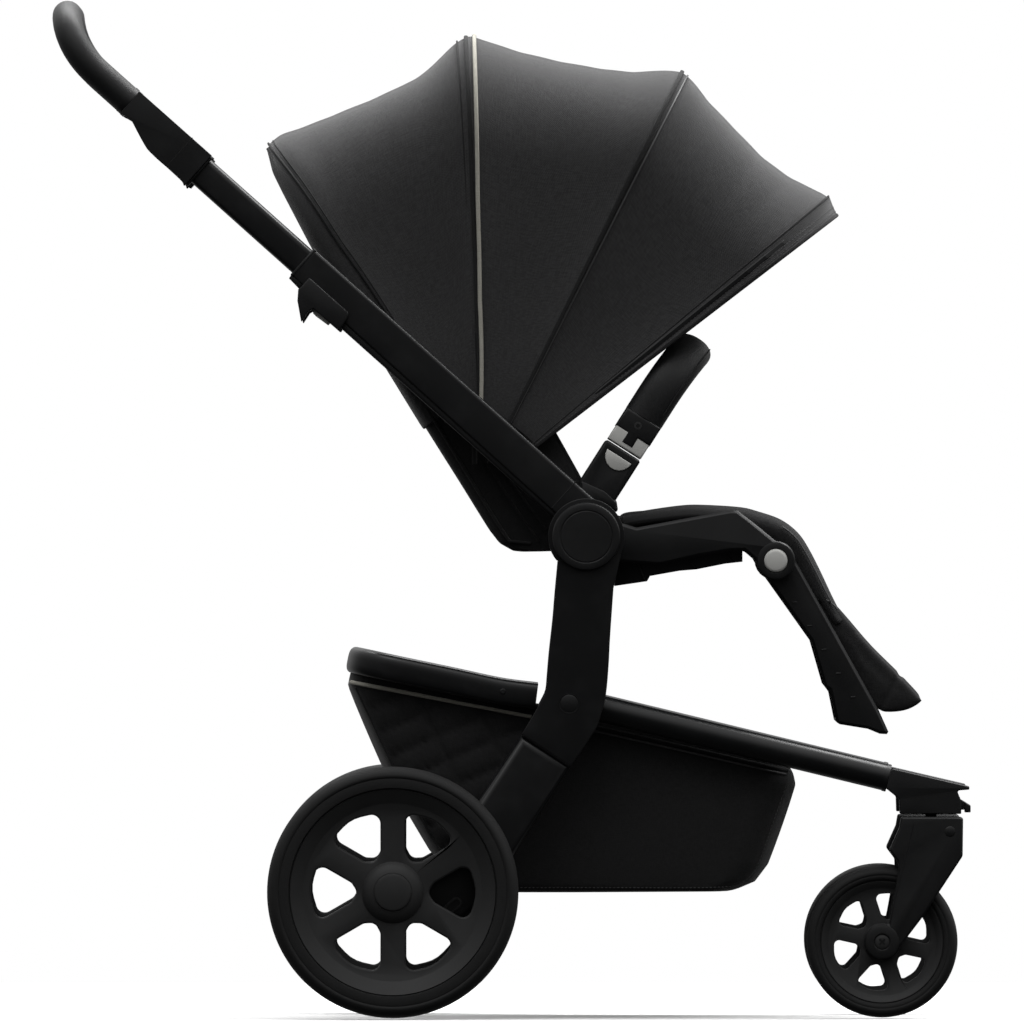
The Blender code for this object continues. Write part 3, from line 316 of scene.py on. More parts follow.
def spun(centre, profile, steps=96, closed=False):
    """Solid turned about a cross axis through a side-view point, from (radius, y) points."""
    bm = bmesh.new()
    ring = [bm.verts.new((centre[0] + r, y, centre[1])) for r, y in profile]
    edges = [bm.edges.new(pair) for pair in zip(ring, ring[1:])]
    if closed:
        edges.append(bm.edges.new((ring[-1], ring[0])))
    bmesh.ops.spin(bm, geom=ring + edges, cent=(centre[0], 0, centre[1]), axis=(0, 1, 0),
                   angle=2 * pi, steps=steps, use_merge=True)
    bmesh.ops.remove_doubles(bm, verts=bm.verts, dist=1e-6)
    bmesh.ops.recalc_face_normals(bm, faces=bm.faces)
    return bm


def skin(rows, closed=False, caps=False):
    """Surface over rows of points, from a grid whose vertices take their places; its map is in metres."""
    across, down = len(rows[0]) - (0 if closed else 1), len(rows) - 1
    wide = sum(length_of(row) for row in rows) / len(rows)
    tall = sum(length_of([row[k] for row in rows]) for k in range(len(rows[0]))) / len(rows[0])
    bm = bmesh.new()
    chart = bm.loops.layers.uv.new("UVMap")
    bmesh.ops.create_grid(bm, x_segments=across, y_segments=down, size=1, calc_uvs=True)
    for face in bm.faces:
        for loop in face.loops:
            loop[chart].uv = (loop[chart].uv.x * wide, loop[chart].uv.y * tall)
    for v in bm.verts:
        i, j = round((v.co.x + 1) / 2 * across), round((v.co.y + 1) / 2 * down)
        v.co = rows[j][i % len(rows[0])]
    bmesh.ops.remove_doubles(bm, verts=bm.verts, dist=1e-7)
    if caps:
        bmesh.ops.holes_fill(bm, edges=[e for e in bm.edges if e.is_boundary])
        bmesh.ops.recalc_face_normals(bm, faces=bm.faces)
    return bm


def oval(wide, thick, count=16, square=1.0):
    """Section of a bar; square 1 is an ellipse, less is boxier."""
    points = []
    for k in range(count):
        c, s = cos(2 * pi * (k + 0.5) / count), sin(2 * pi * (k + 0.5) / count)
        points.append((wide / 2 * abs(c) ** square * (1 if c > 0 else -1),
                       thick / 2 * abs(s) ** square * (1 if s > 0 else -1)))
    return points


def rings(path, section, normal):
    """Section points set square to a path at each of its stops."""
    path, normal = [Vector(p) for p in path], Vector(normal)
    made = []
    for i, spot in enumerate(path):
        ahead = (path[min(i + 1, len(path) - 1)] - path[max(i - 1, 0)]).normalized()
        first = (normal - ahead * ahead.dot(normal)).normalized()
        second = ahead.cross(first)
        made.append([spot + first * a + second * b for a, b in section])
    return made


def hose(path, thick, normal=(0, 1, 0.01), count=10, wide=None, square=1.0):
    """Round or oval cord along a path, closed at both ends."""
    return skin(rings(path, oval(wide or thick, thick, count, square), normal), closed=True, caps=True)


def stitches(path, pitch, thick, long):
    """Row of short stitches along a path, each a small pill."""
    bm = bmesh.new()
    count = max(2, int(length_of(path) / pitch))
    spots = evened(path, count)
    for a, b in zip(spots, spots[1:]):
        ahead = (b - a).normalized()
        turn = ahead.to_track_quat("X", "Z").to_matrix().to_4x4()
        bmesh.ops.create_icosphere(bm, subdivisions=1, radius=0.5,
                                   matrix=Matrix.Translation((a + b) / 2) @ turn
                                   @ Matrix.Diagonal((long, thick, thick, 1)))
    return bm


def merged(parts):
    """Several bmeshes as one."""
    bm = bmesh.new()
    for part in parts:
        mesh = bpy.data.meshes.new("part")
        part.to_mesh(mesh)
        part.free()
        bm.from_mesh(mesh)
        bpy.data.meshes.remove(mesh)
    return bm


def flipped(bm):
    """Mirror image across the middle plane, as a second bmesh."""
    twin = bm.copy()
    bmesh.ops.transform(twin, matrix=Matrix.Diagonal((1, -1, 1, 1)), verts=twin.verts)
    bmesh.ops.reverse_faces(twin, faces=twin.faces)
    return twin


def cut(bm, cutter, keep="DIFFERENCE"):
    """Boolean of two bmeshes, with flat faces joined again."""
    holders = []
    for part in (bm, cutter):
        mesh = bpy.data.meshes.new("guide")
        part.to_mesh(mesh)
        part.free()
        holder = bpy.data.objects.new("guide", mesh)
        bpy.context.scene.collection.objects.link(holder)
        holders.append(holder)
    step = holders[0].modifiers.new("cut", "BOOLEAN")
    step.operation, step.solver, step.object = keep, "EXACT", holders[1]
    evaluated = holders[0].evaluated_get(bpy.context.evaluated_depsgraph_get())
    made = bmesh.new()
    made.from_mesh(evaluated.to_mesh())
    evaluated.to_mesh_clear()
    for holder in holders:
        mesh = holder.data
        bpy.data.objects.remove(holder)
        bpy.data.meshes.remove(mesh)
    bmesh.ops.remove_doubles(made, verts=made.verts, dist=1e-6)
    bmesh.ops.dissolve_limit(made, angle_limit=radians(0.5), verts=made.verts, edges=made.edges)
    return made


def soften(bm, width, steps=2, angle=28, only=None, clamp=True):
    """Rounds the edges that turn by more than an angle."""
    sharp = [e for e in bm.edges if len(e.link_faces) == 2 and e.calc_face_angle(0) > radians(angle)
             and (only is None or only(e))]
    bmesh.ops.bevel(bm, geom=sharp, offset=width, offset_type="OFFSET", segments=steps, profile=0.5,
                    affect="EDGES", clamp_overlap=clamp, material=-1)
    return bm


def copied(node):
    """A CAD node's mesh with its triangles joined, ready to be rounded."""
    bm = bmesh.new()
    bm.from_mesh(frame["nodes"][node].data)
    bmesh.ops.remove_doubles(bm, verts=bm.verts, dist=2e-6)
    bmesh.ops.dissolve_limit(bm, angle_limit=radians(1), verts=bm.verts, edges=bm.edges)
    return bm


# ------------------------------------------------------------------ pieces
def piece(name, bm, finish, body, slot, replaces=(), crease=35, subdivide=0):
    """Object of one finished mesh, standing for CAD nodes; it rides on its body if given one by name."""
    mesh = bpy.data.meshes.new(name)
    bm.to_mesh(mesh)
    bm.free()
    mesh.shade_smooth()
    if crease:
        mesh.set_sharp_from_angle(angle=radians(crease))
    mesh.materials.append(finish)
    made = bpy.data.objects.new(name, mesh)
    bpy.context.scene.collection.objects.link(made)
    if subdivide:
        smooth = made.modifiers.new("smooth", "SUBSURF")
        smooth.levels = smooth.render_levels = subdivide
    if isinstance(body, str):
        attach(made, body)
    else:
        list(body)
        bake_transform(made)
    if replaces:
        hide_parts(*([replaces] if isinstance(replaces, str) else replaces))
    return made


def both(name, bm, finish, body, slot, replaces=None, **more):
    """A left piece and its mirrored twin; {} in a name stands for the side."""
    made = []
    for side, shape in (("right", flipped(bm)), ("left", bm)):
        stands = (replaces.format(side),) if replaces else ()
        made.append(piece(name.format(side), shape, finish, body.format(side), slot, stands, **more))
    return made


def carry_over(finish, *nodes):
    """Gives CAD nodes that stay their finished material."""
    for node in nodes:
        data = frame["nodes"][node].data
        data.materials.clear()
        data.materials.append(finish)


def rounded_nodes(finish, slot, width, nodes, steps=2, angle=28):
    """Rounded copies that stand for CAD nodes, each on its node's own body."""
    for node in nodes:
        bm = soften(copied(node), width, steps, angle)
        piece(node + "_finished", bm, finish, frame["nodes"][node]["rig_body"], slot, node)


# ------------------------------------------------------------------ materials
class Signal:
    """One output in a material's nodes, which arithmetic can be done on."""

    def __init__(self, shader, socket):
        self.shader, self.socket = shader, socket

    def math(self, operation, *others, clamp=False):
        values = dict(enumerate((self, *others)))
        return self.shader.node("Math", {"operation": operation, "use_clamp": clamp}, values)

    def __add__(self, other):
        return self.math("ADD", other)

    __radd__ = __add__

    def __sub__(self, other):
        return self.math("SUBTRACT", other)

    def __rsub__(self, other):
        return self.shader.node("Math", {"operation": "SUBTRACT"}, {0: other, 1: self})

    def __mul__(self, other):
        return self.math("MULTIPLY", other)

    __rmul__ = __mul__

    def __truediv__(self, other):
        return self.math("DIVIDE", other)

    def __pow__(self, other):
        return self.math("POWER", other)

    def sine(self):
        return self.math("SINE")

    def size(self):
        return self.math("ABSOLUTE")

    def over(self, low, high):
        """0 below low and 1 above high, with a smooth step between."""
        return self.shader.node("MapRange", {"interpolation_type": "SMOOTHSTEP"},
                                {"Value": self, "From Min": low, "From Max": high})


class Shader:
    """A material under construction, by its name."""

    def __init__(self, name, colour, rough, metallic=0.0, specular=0.5):
        self.material = bpy.data.materials.new(name)
        self.material.use_nodes = True
        self.tree = self.material.node_tree
        self.base = self.tree.nodes["Principled BSDF"]
        self.colour = (*colour, 1.0)
        self.set("Base Color", self.colour)
        self.set("Roughness", rough)
        self.set("Metallic", metallic)
        self.set("Specular IOR Level", specular)

    def node(self, kind, settings=None, values=None, output=0):
        """Any shader node: its settings first, then the values or links of its sockets."""
        made = self.tree.nodes.new("ShaderNode" + kind)
        for key, value in (settings or {}).items():
            setattr(made, key, value)
        for key, value in (values or {}).items():
            self.feed(made.inputs[key], value)
        return Signal(self, made.outputs[output])

    def feed(self, socket, value):
        if isinstance(value, Signal):
            self.tree.links.new(value.socket, socket)
        else:
            socket.default_value = value

    def set(self, name, value):
        self.feed(self.base.inputs[name], value)

    def place(self, source="Object", scale=(1, 1, 1), turn=(0, 0, 0)):
        """Coordinates of the piece, or its own map, stretched and turned."""
        where = self.node("TexCoord", output={"Object": 3, "UV": 2}[source])
        return self.node("Mapping", None, {"Vector": where, "Scale": scale, "Rotation": turn})

    def axes(self, vector):
        parts = self.node("SeparateXYZ", None, {0: vector})
        outputs = parts.socket.node.outputs
        return [Signal(self, outputs[k]) for k in range(3)]

    def noise(self, vector, scale, detail=3.0, rough=0.5):
        return self.node("TexNoise", None, {"Vector": vector, "Scale": scale, "Detail": detail,
                                            "Roughness": rough})

    def cells(self, vector, scale, feature="F1"):
        return self.node("TexVoronoi", {"feature": feature}, {"Vector": vector, "Scale": scale})

    def mix(self, share, a, b):
        """Colour between two colours."""
        return self.node("Mix", {"data_type": "RGBA"}, {0: share, 6: a, 7: b}, output=2)

    def shade(self, amount):
        """The material's colour, scaled."""
        return tuple(c * amount for c in self.colour[:3]) + (1.0,)

    def bump(self, height, strength, distance, base=None):
        values = {"Height": height, "Strength": strength, "Distance": distance}
        if base:
            values["Normal"] = base
        return self.node("Bump", None, values)


FINISHES = {}


def finish(name):
    """The named material, made once."""
    if name not in FINISHES:
        FINISHES[name] = MAKERS[name](bpy.context.scene.stroller_finish)
    return FINISHES[name]


def satin_coat(look):
    """Satin powder coat on metal: faint orange peel, dust and rubbed spots."""
    made = Shader("satin_coat", look.frame_colour, 0.30, specular=0.30)
    where = made.place()
    peel = made.noise(where, 900, 2)
    dust = made.noise(where, 34, 4, 0.6).over(0.42, 0.75)
    speck = made.noise(where, 2600, 1)
    made.set("Base Color", made.mix(dust * 0.35, made.colour, made.shade(1.7)))
    made.set("Roughness", 0.27 + dust * 0.08 + speck * 0.05)
    made.set("Normal", made.bump(peel + speck * 0.5, 0.10, 0.0002))
    return made.material


def grained(name, colour, rough, grain=1800, depth=0.22, specular=0.4, wear=0.35):
    """Moulded plastic with a spark-eroded grain and slight wear."""
    made = Shader(name, colour, rough, specular=specular)
    where = made.place()
    pits = made.cells(where, grain)
    cloud = made.noise(where, 26, 4, 0.6).over(0.4, 0.72)
    fine = made.noise(where, grain * 0.7, 2)
    made.set("Base Color", made.mix(cloud * wear, made.colour, made.shade(1.45)))
    made.set("Roughness", rough - 0.04 + cloud * 0.07 + fine * 0.08)
    made.set("Normal", made.bump(pits * 0.6 + fine * 0.4, depth, 0.00025))
    return made.material


def black_plastic(look):
    """Dark moulded plastic of joints and covers."""
    return grained("black_plastic", look.frame_colour, 0.42, specular=0.30)


def wheel_plastic(look):
    """Matt moulded plastic of the rims."""
    return grained("wheel_plastic", look.wheel_colour, 0.55, 1500, 0.28, 0.30)


def pale_plastic(look):
    """Pale moulded plastic of the buttons."""
    return grained("pale_plastic", look.button_colour, 0.42, 1400, 0.10, 0.5, 0.05)


def tyre_rubber(look):
    """Foam rubber: matt, with mould lines round the tread and grey dust."""
    made = Shader("tyre_rubber", look.wheel_colour, 0.74, specular=0.22)
    where = made.place()
    pores = made.cells(where, 1100)
    dust = made.noise(where, 40, 5, 0.65).over(0.45, 0.8)
    made.set("Base Color", made.mix(dust * 0.4, made.shade(0.6), made.shade(1.2)))
    made.set("Roughness", 0.70 + dust * 0.16)
    made.set("Normal", made.bump(pores + made.noise(where, 400, 2) * 0.6, 0.25, 0.0003))
    return made.material


def steel(look):
    """Turned steel with fine rings round the axle."""
    made = Shader("steel", (0.42, 0.42, 0.43), 0.3, metallic=1.0)
    grooves = made.noise(made.place(scale=(60, 2400, 60)), 1.0, 3)
    spots = made.noise(made.place(), 90, 4).over(0.4, 0.7)
    made.set("Base Color", made.mix(spots * 0.4, made.colour, made.shade(0.7)))
    made.set("Roughness", 0.26 + grooves * 0.14)
    made.set("Normal", made.bump(grooves, 0.12, 0.0002))
    return made.material


def leather(look):
    """Fine-grained leather cover: pebbled cells crossed by slanting creases."""
    made = Shader("leather", look.frame_colour, 0.44, specular=0.26)
    where = made.place()
    pebble = made.cells(where, 950, "DISTANCE_TO_EDGE").over(0.0, 0.22)
    crease = made.noise(made.place(scale=(900, 900, 220), turn=(0.5, 0.4, 0.9)), 1.0, 3)
    tone = made.noise(where, 22, 4).over(0.35, 0.7)
    made.set("Base Color", made.mix(tone * 0.5, made.colour, made.shade(1.6)))
    made.set("Roughness", 0.50 - pebble * 0.10 + tone * 0.06)
    made.set("Normal", made.bump(pebble * 0.7 + crease * 0.5, 0.35, 0.0004))
    made.set("Sheen Weight", 0.05)
    return made.material


def woven(name, colour, pitch, slub=0.5, depth=0.5, rough=0.82, sheen=0.25, source="UV", contrast=0.42):
    """Plain weave: warp over weft in turn, with thick and thin threads."""
    made = Shader(name, colour, rough, specular=0.18)
    turns = 2 * pi / pitch
    where = made.place(source)
    u, v, _ = made.axes(where)
    over = (u * (turns / 2)).sine() * (v * (turns / 2)).sine()
    warp = (u * turns).sine() * 0.5 + 0.5
    weft = (v * turns).sine() * 0.5 + 0.5
    lift = over.over(-0.25, 0.25)
    threads = warp * lift + weft * (1 - lift)
    thick_warp = made.noise(made.place(source, (0.9 / pitch, 0.10 / pitch, 1)), 1.0, 2)
    thick_weft = made.noise(made.place(source, (0.10 / pitch, 0.9 / pitch, 1)), 1.0, 2)
    slubs = (thick_warp + thick_weft) * 0.5
    cloud = made.noise(made.place(source), 9.0, 4, 0.6)
    tone = threads * 0.35 + slubs.over(0.36, 0.64) * slub + cloud * 0.25
    made.set("Base Color", made.mix(tone, made.shade(1 - contrast), made.shade(1 + contrast)))
    made.set("Roughness", rough - 0.05 + slubs * 0.1)
    made.set("Normal", made.bump(threads + slubs * 1.4, depth, pitch * 0.35))
    made.set("Sheen Weight", sheen)
    made.set("Sheen Roughness", 0.4)
    return made.material


def canopy_cloth(look):
    """Linen weave of the canopy."""
    return woven("canopy_cloth", look.canopy_colour, look.weave)


def seat_cloth(look):
    """Weave of the seat, with little sheen."""
    return woven("seat_cloth", look.seat_colour, look.weave, sheen=0.06)


def basket_cloth(look):
    """Coarser weave of the basket."""
    return woven("basket_cloth", look.seat_colour, look.weave * 1.1, slub=0.55, sheen=0.15)


def piping_cloth(look):
    """Pale cloth rolled over the piping cord."""
    return woven("piping_cloth", look.piping_colour, look.weave * 0.8, depth=0.4, sheen=0.1, contrast=0.22)


def seam_cloth(look):
    """Cloth that is folded over at a seam."""
    return woven("seam_cloth", look.seat_colour, look.weave * 0.8, depth=0.5, sheen=0.1, contrast=0.4)


def webbing(look):
    """Strap webbing with chevrons along its length."""
    made = Shader("webbing", look.seat_colour, 0.6, specular=0.3)
    where = made.place("UV")
    u, v, _ = made.axes(where)
    slant = ((u - 0.0125).size() + v) * (2 * pi / 0.0026)
    ridge = slant.sine() * 0.5 + 0.5
    rows = (u * (2 * pi / 0.0014)).sine() * 0.5 + 0.5
    made.set("Base Color", made.mix(ridge * 0.5 + rows * 0.3, made.shade(0.7), made.shade(2.0)))
    made.set("Roughness", 0.52 + ridge * 0.14)
    made.set("Normal", made.bump(ridge + rows * 0.6, 0.5, 0.0004))
    return made.material


def thread(look):
    """Sewing thread, a little lighter than the cloth."""
    made = Shader("thread", (0.05, 0.05, 0.051), 0.55, specular=0.4)
    twist = made.noise(made.place(), 3000, 2)
    made.set("Base Color", made.mix(twist, made.shade(0.7), made.shade(1.4)))
    made.set("Normal", made.bump(twist, 0.3, 0.0002))
    return made.material


def studio_floor(look):
    """Pale matt floor."""
    made = Shader("studio_floor", (0.82, 0.82, 0.82), 0.9)
    cloud = made.noise(made.place(), 2.0, 3)
    made.set("Roughness", 0.85 + cloud * 0.1)
    made.set("Emission Color", (1, 1, 1, 1))
    made.set("Emission Strength", 0.10)
    return made.material


MAKERS = {f.__name__: f for f in (
    satin_coat, black_plastic, wheel_plastic, pale_plastic, tyre_rubber, steel, leather, canopy_cloth,
    seat_cloth, basket_cloth, piping_cloth, seam_cloth, webbing, thread, studio_floor)}


# ------------------------------------------------------------------ chassis
def make_uprights():
    """Flat-oval upright with the hub disc at its top, and the leg below its seam."""
    coat = finish("satin_coat")
    rounding = bpy.context.scene.stroller_finish.tube_rounding
    outline = arc(HUB, 0.040, -21, 219)
    left = [(0.0483, 0.4804), (0.0450, 0.4450), (0.0427, 0.4174), (0.0388, 0.3820), (0.0366, 0.3560),
            (0.0352, 0.3425), (0.0310, 0.3330), (0.0259, 0.3239), (0.0105, 0.2979)]
    right = [(0.0619, 0.2642), (0.0866, 0.3012), (0.0931, 0.3176), (0.0985, 0.3386), (0.1014, 0.3701),
             (0.1029, 0.3995), (0.1065, 0.4510)]
    outline += curve(left, 24) + curve(right, 20)
    both("upright_{}_finished", solid(outline, LEG_IN, LEG_OUT, rounding, 6), coat, "chassis", "frame_black",
         "upright_{}")
    seam_rear, seam_front = Vector((0.0105, 0.2977)), Vector((0.0619, 0.2640))
    ahead = Vector((-0.0964, -0.1481)).normalized()
    heel = seam_rear + ahead * 0.172
    toe = seam_front + ahead * 0.180
    outline = [seam_front + ahead * 0.0008, toe, toe + Vector((-0.016, -0.0125))]
    outline += arc(REAR, 0.026, 282, 84) + [heel, seam_rear + ahead * 0.0008]
    both("leg_tube_{}_finished", solid(outline, LEG_IN, LEG_OUT, rounding * 0.95, 6), coat, "chassis",
         "frame_black", "leg_tube_{}")
    both("leg_seam_{}", solid([seam_rear + ahead * 0.0026 + Vector((0.0016, 0)), seam_front + ahead * 0.0026,
                               seam_front - ahead * 0.0020, seam_rear - ahead * 0.0020 + Vector((0.0016, 0))],
                              LEG_IN + 0.0012, LEG_OUT - 0.0008, rounding * 0.9, 6),
         finish("black_plastic"), "chassis", "plastic_black")


def make_hub_caps():
    """Round cover of the main hub: raised disc with a fine ring."""
    face = LEG_OUT
    profile = [(0, face + 0.0066), (0.0262, face + 0.0066), (0.0268, face + 0.0061), (0.0275, face + 0.0061),
               (0.0282, face + 0.0067), (0.0325, face + 0.0068), (0.0345, face + 0.0062),
               (0.0354, face + 0.0050),
               (0.0357, face + 0.0036), (0.0357, face - 0.0015), (0.0345, face - 0.0020), (0, face - 0.0020)]
    both("hub_cap_{}_finished", spun(HUB, profile, 112), finish("black_plastic"), "chassis", "plastic_black",
         "hub_cap_{}")
    low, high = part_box("hub_cap_left")[0].y, LEG_IN
    pin = [(0, low), (0.0086, low), (0.0096, low + 0.001), (0.0096, high), (0, high)]
    both("hub_pin_{}", spun(HUB, pin, 40), finish("steel"), "chassis", "plastic_black")
    dish = [(0, LEG_OUT + 0.0007), (0.0078, LEG_OUT + 0.0006), (0.0092, LEG_OUT + 0.0001),
            (0.0096, LEG_OUT - 0.0008), (0.0096, LEG_OUT - 0.003), (0, LEG_OUT - 0.003)]
    both("elbow_cap_{}", spun(ELBOW, dish, 48), finish("black_plastic"), "chassis", "plastic_black")
    bezel = [(0.0098, LEG_OUT - 0.002), (0.0098, LEG_OUT + 0.0003), (0.0104, LEG_OUT + 0.0004),
             (0.0108, LEG_OUT - 0.0004), (0.0108, LEG_OUT - 0.002)]
    both("elbow_bezel_{}", spun(ELBOW, bezel, 48, True), finish("satin_coat"), "chassis", "plastic_black")


def make_axle_lock():
    """Slanting release slot with a raised rim on each foot, and the axle between the feet."""
    spot, lean = Vector((-0.0614, 0.1181)), 40
    pill = along_line(spot, lean, [(-0.0042, 0), (0.0042, 0)])
    shape = arc(pill[1], 0.0036, lean - 90, lean + 90, 15) + arc(pill[0], 0.0036, lean + 90, lean + 270, 15)
    rim = arc(pill[1], 0.0060, lean - 90, lean + 90, 15) + arc(pill[0], 0.0060, lean + 90, lean + 270, 15)
    ring = cut(solid(rim, LEG_OUT - 0.001, LEG_OUT + 0.0016, 0.0009, 2),
               solid(shape, LEG_OUT - 0.002, LEG_OUT + 0.003))
    both("axle_lock_rim_{}", ring, finish("wheel_plastic"), "chassis", "plastic_black")
    both("axle_lock_slot_{}", solid(shape, LEG_OUT - 0.0010, LEG_OUT + 0.0004), finish("tyre_rubber"),
         "chassis", "plastic_black")
    carry_over(finish("steel"), "rear_axle")


def along_line(origin, angle, points):
    """Points (s, t) laid along a line and to its left."""
    ahead = Vector((cos(radians(angle)), sin(radians(angle))))
    left = Vector((-ahead.y, ahead.x))
    return [Vector(origin) + ahead * s + left * t for s, t in points]


def make_brake():
    """Brake pedal with a ribbed tread."""
    rounded_nodes(finish("black_plastic"), "plastic_black", 0.0012, ["brake_pedal"])
    ahead = Vector((cos(radians(150)), sin(radians(150))))
    up = Vector((ahead.y, -ahead.x)) * -1
    ribs = []
    for k in range(6):
        spot = REAR + ahead * (0.040 + 0.008 * k) - up * 0.0088
        ribs.append(solid(arc(spot, 0.0016, 0, 360, 30)[:-1], -0.042, 0.042, 0.0006, 2))
    piece("brake_tread", merged(ribs), finish("tyre_rubber"), "brake", "plastic_black")


# ------------------------------------------------------------------ wheels
def spoke_hole(centre, inner, outer, narrow, wide, angle):
    """Rounded trapezoid between two spokes, domed at its outer end."""
    corner = 0.20 * (outer - inner)
    points = [(inner - 0.1 * (outer - inner), 0), (inner + 0.02 * outer, -narrow),
              (outer - 0.095 * outer, -wide),
              (outer + 0.012 * outer, 0), (outer - 0.095 * outer, wide), (inner + 0.02 * outer, narrow)]
    radii = [corner * 0.9, corner * 0.9, corner, 4 * corner, corner, corner * 0.9]
    placed = along_line(centre, angle, points)
    return rounded([(p.x, p.y, r) for p, r in zip(placed, radii)], 12)


SPOKES = 6
TYRE_STEPS = 144         # facets round a wheel


def make_wheel(prefix, centre, y, radii, halves, holes, tilt, body):
    """Tyre with a shaped sidewall and tread grooves, and a dished rim with six openings."""
    tread, shoulder, line, edge, lip, hub = radii
    half, web = halves
    side = [(edge, half * 0.80), (edge + 0.0009, half * 0.90), (line - 0.0012, half * 0.97),
            (line, half * 0.945),
            (line + 0.0010, half * 0.985), (line + 0.45 * (shoulder - line), half), (shoulder, half * 0.88),
            (shoulder + 0.6 * (tread - shoulder), half * 0.72), (tread - 0.0005, half * 0.50)]
    groove = [(tread, half * 0.40), (tread, half * 0.36), (tread - 0.0014, half * 0.33),
              (tread - 0.0014, half * 0.29),
              (tread, half * 0.26), (tread, half * 0.04), (tread - 0.0014, half * 0.02)]
    loop = side + groove
    loop += [(r, -t) for r, t in reversed(loop)]
    tyre = spun(centre, [(r, y + t) for r, t in loop], TYRE_STEPS, True)
    both(prefix + "_tyre_{}_finished", tyre, finish("tyre_rubber"), body, "tyre_rubber", prefix + "_tyre_{}",
         crease=50)
    outer = [(0.0068, web), (hub - 0.0005, web), (lip, web), (lip + 0.0010, web + 0.0006),
             (edge - 0.0030, half * 0.76), (edge - 0.0012, half * 0.80), (edge - 0.0004, half * 0.77),
             (edge + 0.0012, half * 0.70)]
    back = [(edge + 0.0012, -half * 0.70), (edge - 0.0004, -half * 0.77), (edge - 0.0012, -half * 0.80),
            (edge - 0.0030, -half * 0.76), (lip + 0.0010, -web - 0.0006), (lip, -web), (0.0068, -web)]
    rim = spun(centre, [(r, y + t) for r, t in outer + back], TYRE_STEPS, True)
    cutters = merged([solid(spoke_hole(centre, *holes, tilt + 360 / SPOKES * k), y - 0.06, y + 0.06)
                      for k in range(SPOKES)])
    rim = cut(rim, cutters)
    inside = holes[1] + 0.003
    soften(rim, 0.0022 if hub > 0.025 else 0.0011, 3, 50,
           lambda e: all((Vector((v.co.x, v.co.z)) - Vector(centre)).length < inside
                         and (Vector((v.co.x, v.co.z)) - Vector(centre)).length > holes[0] * 0.8
                         and abs(abs(v.co.y - y) - web) < 1e-4 for v in e.verts), clamp=False)
    both(prefix + "_rim_{}_finished", rim, finish("wheel_plastic"), body, "wheel_plastic", prefix + "_rim_{}")


def make_rear_wheels():
    """Big wheels, each with a domed hub and a flat cap."""
    y, half = REAR_MID, 0.0225
    make_wheel("rear", REAR, y, (0.1318, 0.1271, 0.1197, 0.1087, 0.0929, 0.0318), (half, 0.0105),
               (0.0415, 0.0872, 0.0100, 0.0305), 0, "rear_wheel_{}")
    face, web = y + half, y + 0.0105
    dome = [(0, face - 0.0035), (0.0196, face - 0.0035), (0.0200, face - 0.0038), (0.0206, face - 0.0036),
            (0.0232, face - 0.0044), (0.0268, face - 0.0062), (0.0298, face - 0.0088), (0.0314, web + 0.0016),
            (0.0324, web + 0.0002), (0.0324, web - 0.004), (0, web - 0.004)]
    both("rear_hub_{}", spun(REAR, dome, 96), finish("wheel_plastic"), "rear_wheel_{}", "wheel_plastic")
    cap = [(0, face - 0.0005), (0.0165, face - 0.0007), (0.0186, face - 0.0013), (0.0193, face - 0.0022),
           (0.0193, face - 0.0050), (0, face - 0.0050)]
    both("rear_hub_cap_{}_finished", spun(REAR, cap, 80), finish("wheel_plastic"), "rear_wheel_{}",
         "plastic_black", "rear_hub_cap_{}")
    inner = [(0.0072, y - 0.0215), (0.020, y - 0.0215), (0.024, y - 0.0200), (0.030, y - 0.0135),
             (0.0072, y - 0.0135)]
    both("rear_hub_inner_{}", spun(REAR, inner, 80, True), finish("wheel_plastic"), "rear_wheel_{}",
         "wheel_plastic")


def make_front_wheels():
    """Small wheels that run inside the forks."""
    y, half = BAR_MID, 0.016
    make_wheel("front", FRONT, y, (0.0793, 0.0760, 0.0699, 0.0646, 0.0561, 0.0193), (half, 0.0080),
               (0.0262, 0.0520, 0.0066, 0.0182), 17.7, "front_wheel_{}")
    hub = [(0.0068, y + 0.0155), (0.0150, y + 0.0155), (0.0172, y + 0.0140), (0.0200, y + 0.0079),
           (0.0200, y - 0.0079), (0.0172, y - 0.0140), (0.0150, y - 0.0155), (0.0068, y - 0.0155)]
    both("front_hub_{}", spun(FRONT, hub, 72, True), finish("wheel_plastic"), "front_wheel_{}",
         "wheel_plastic")


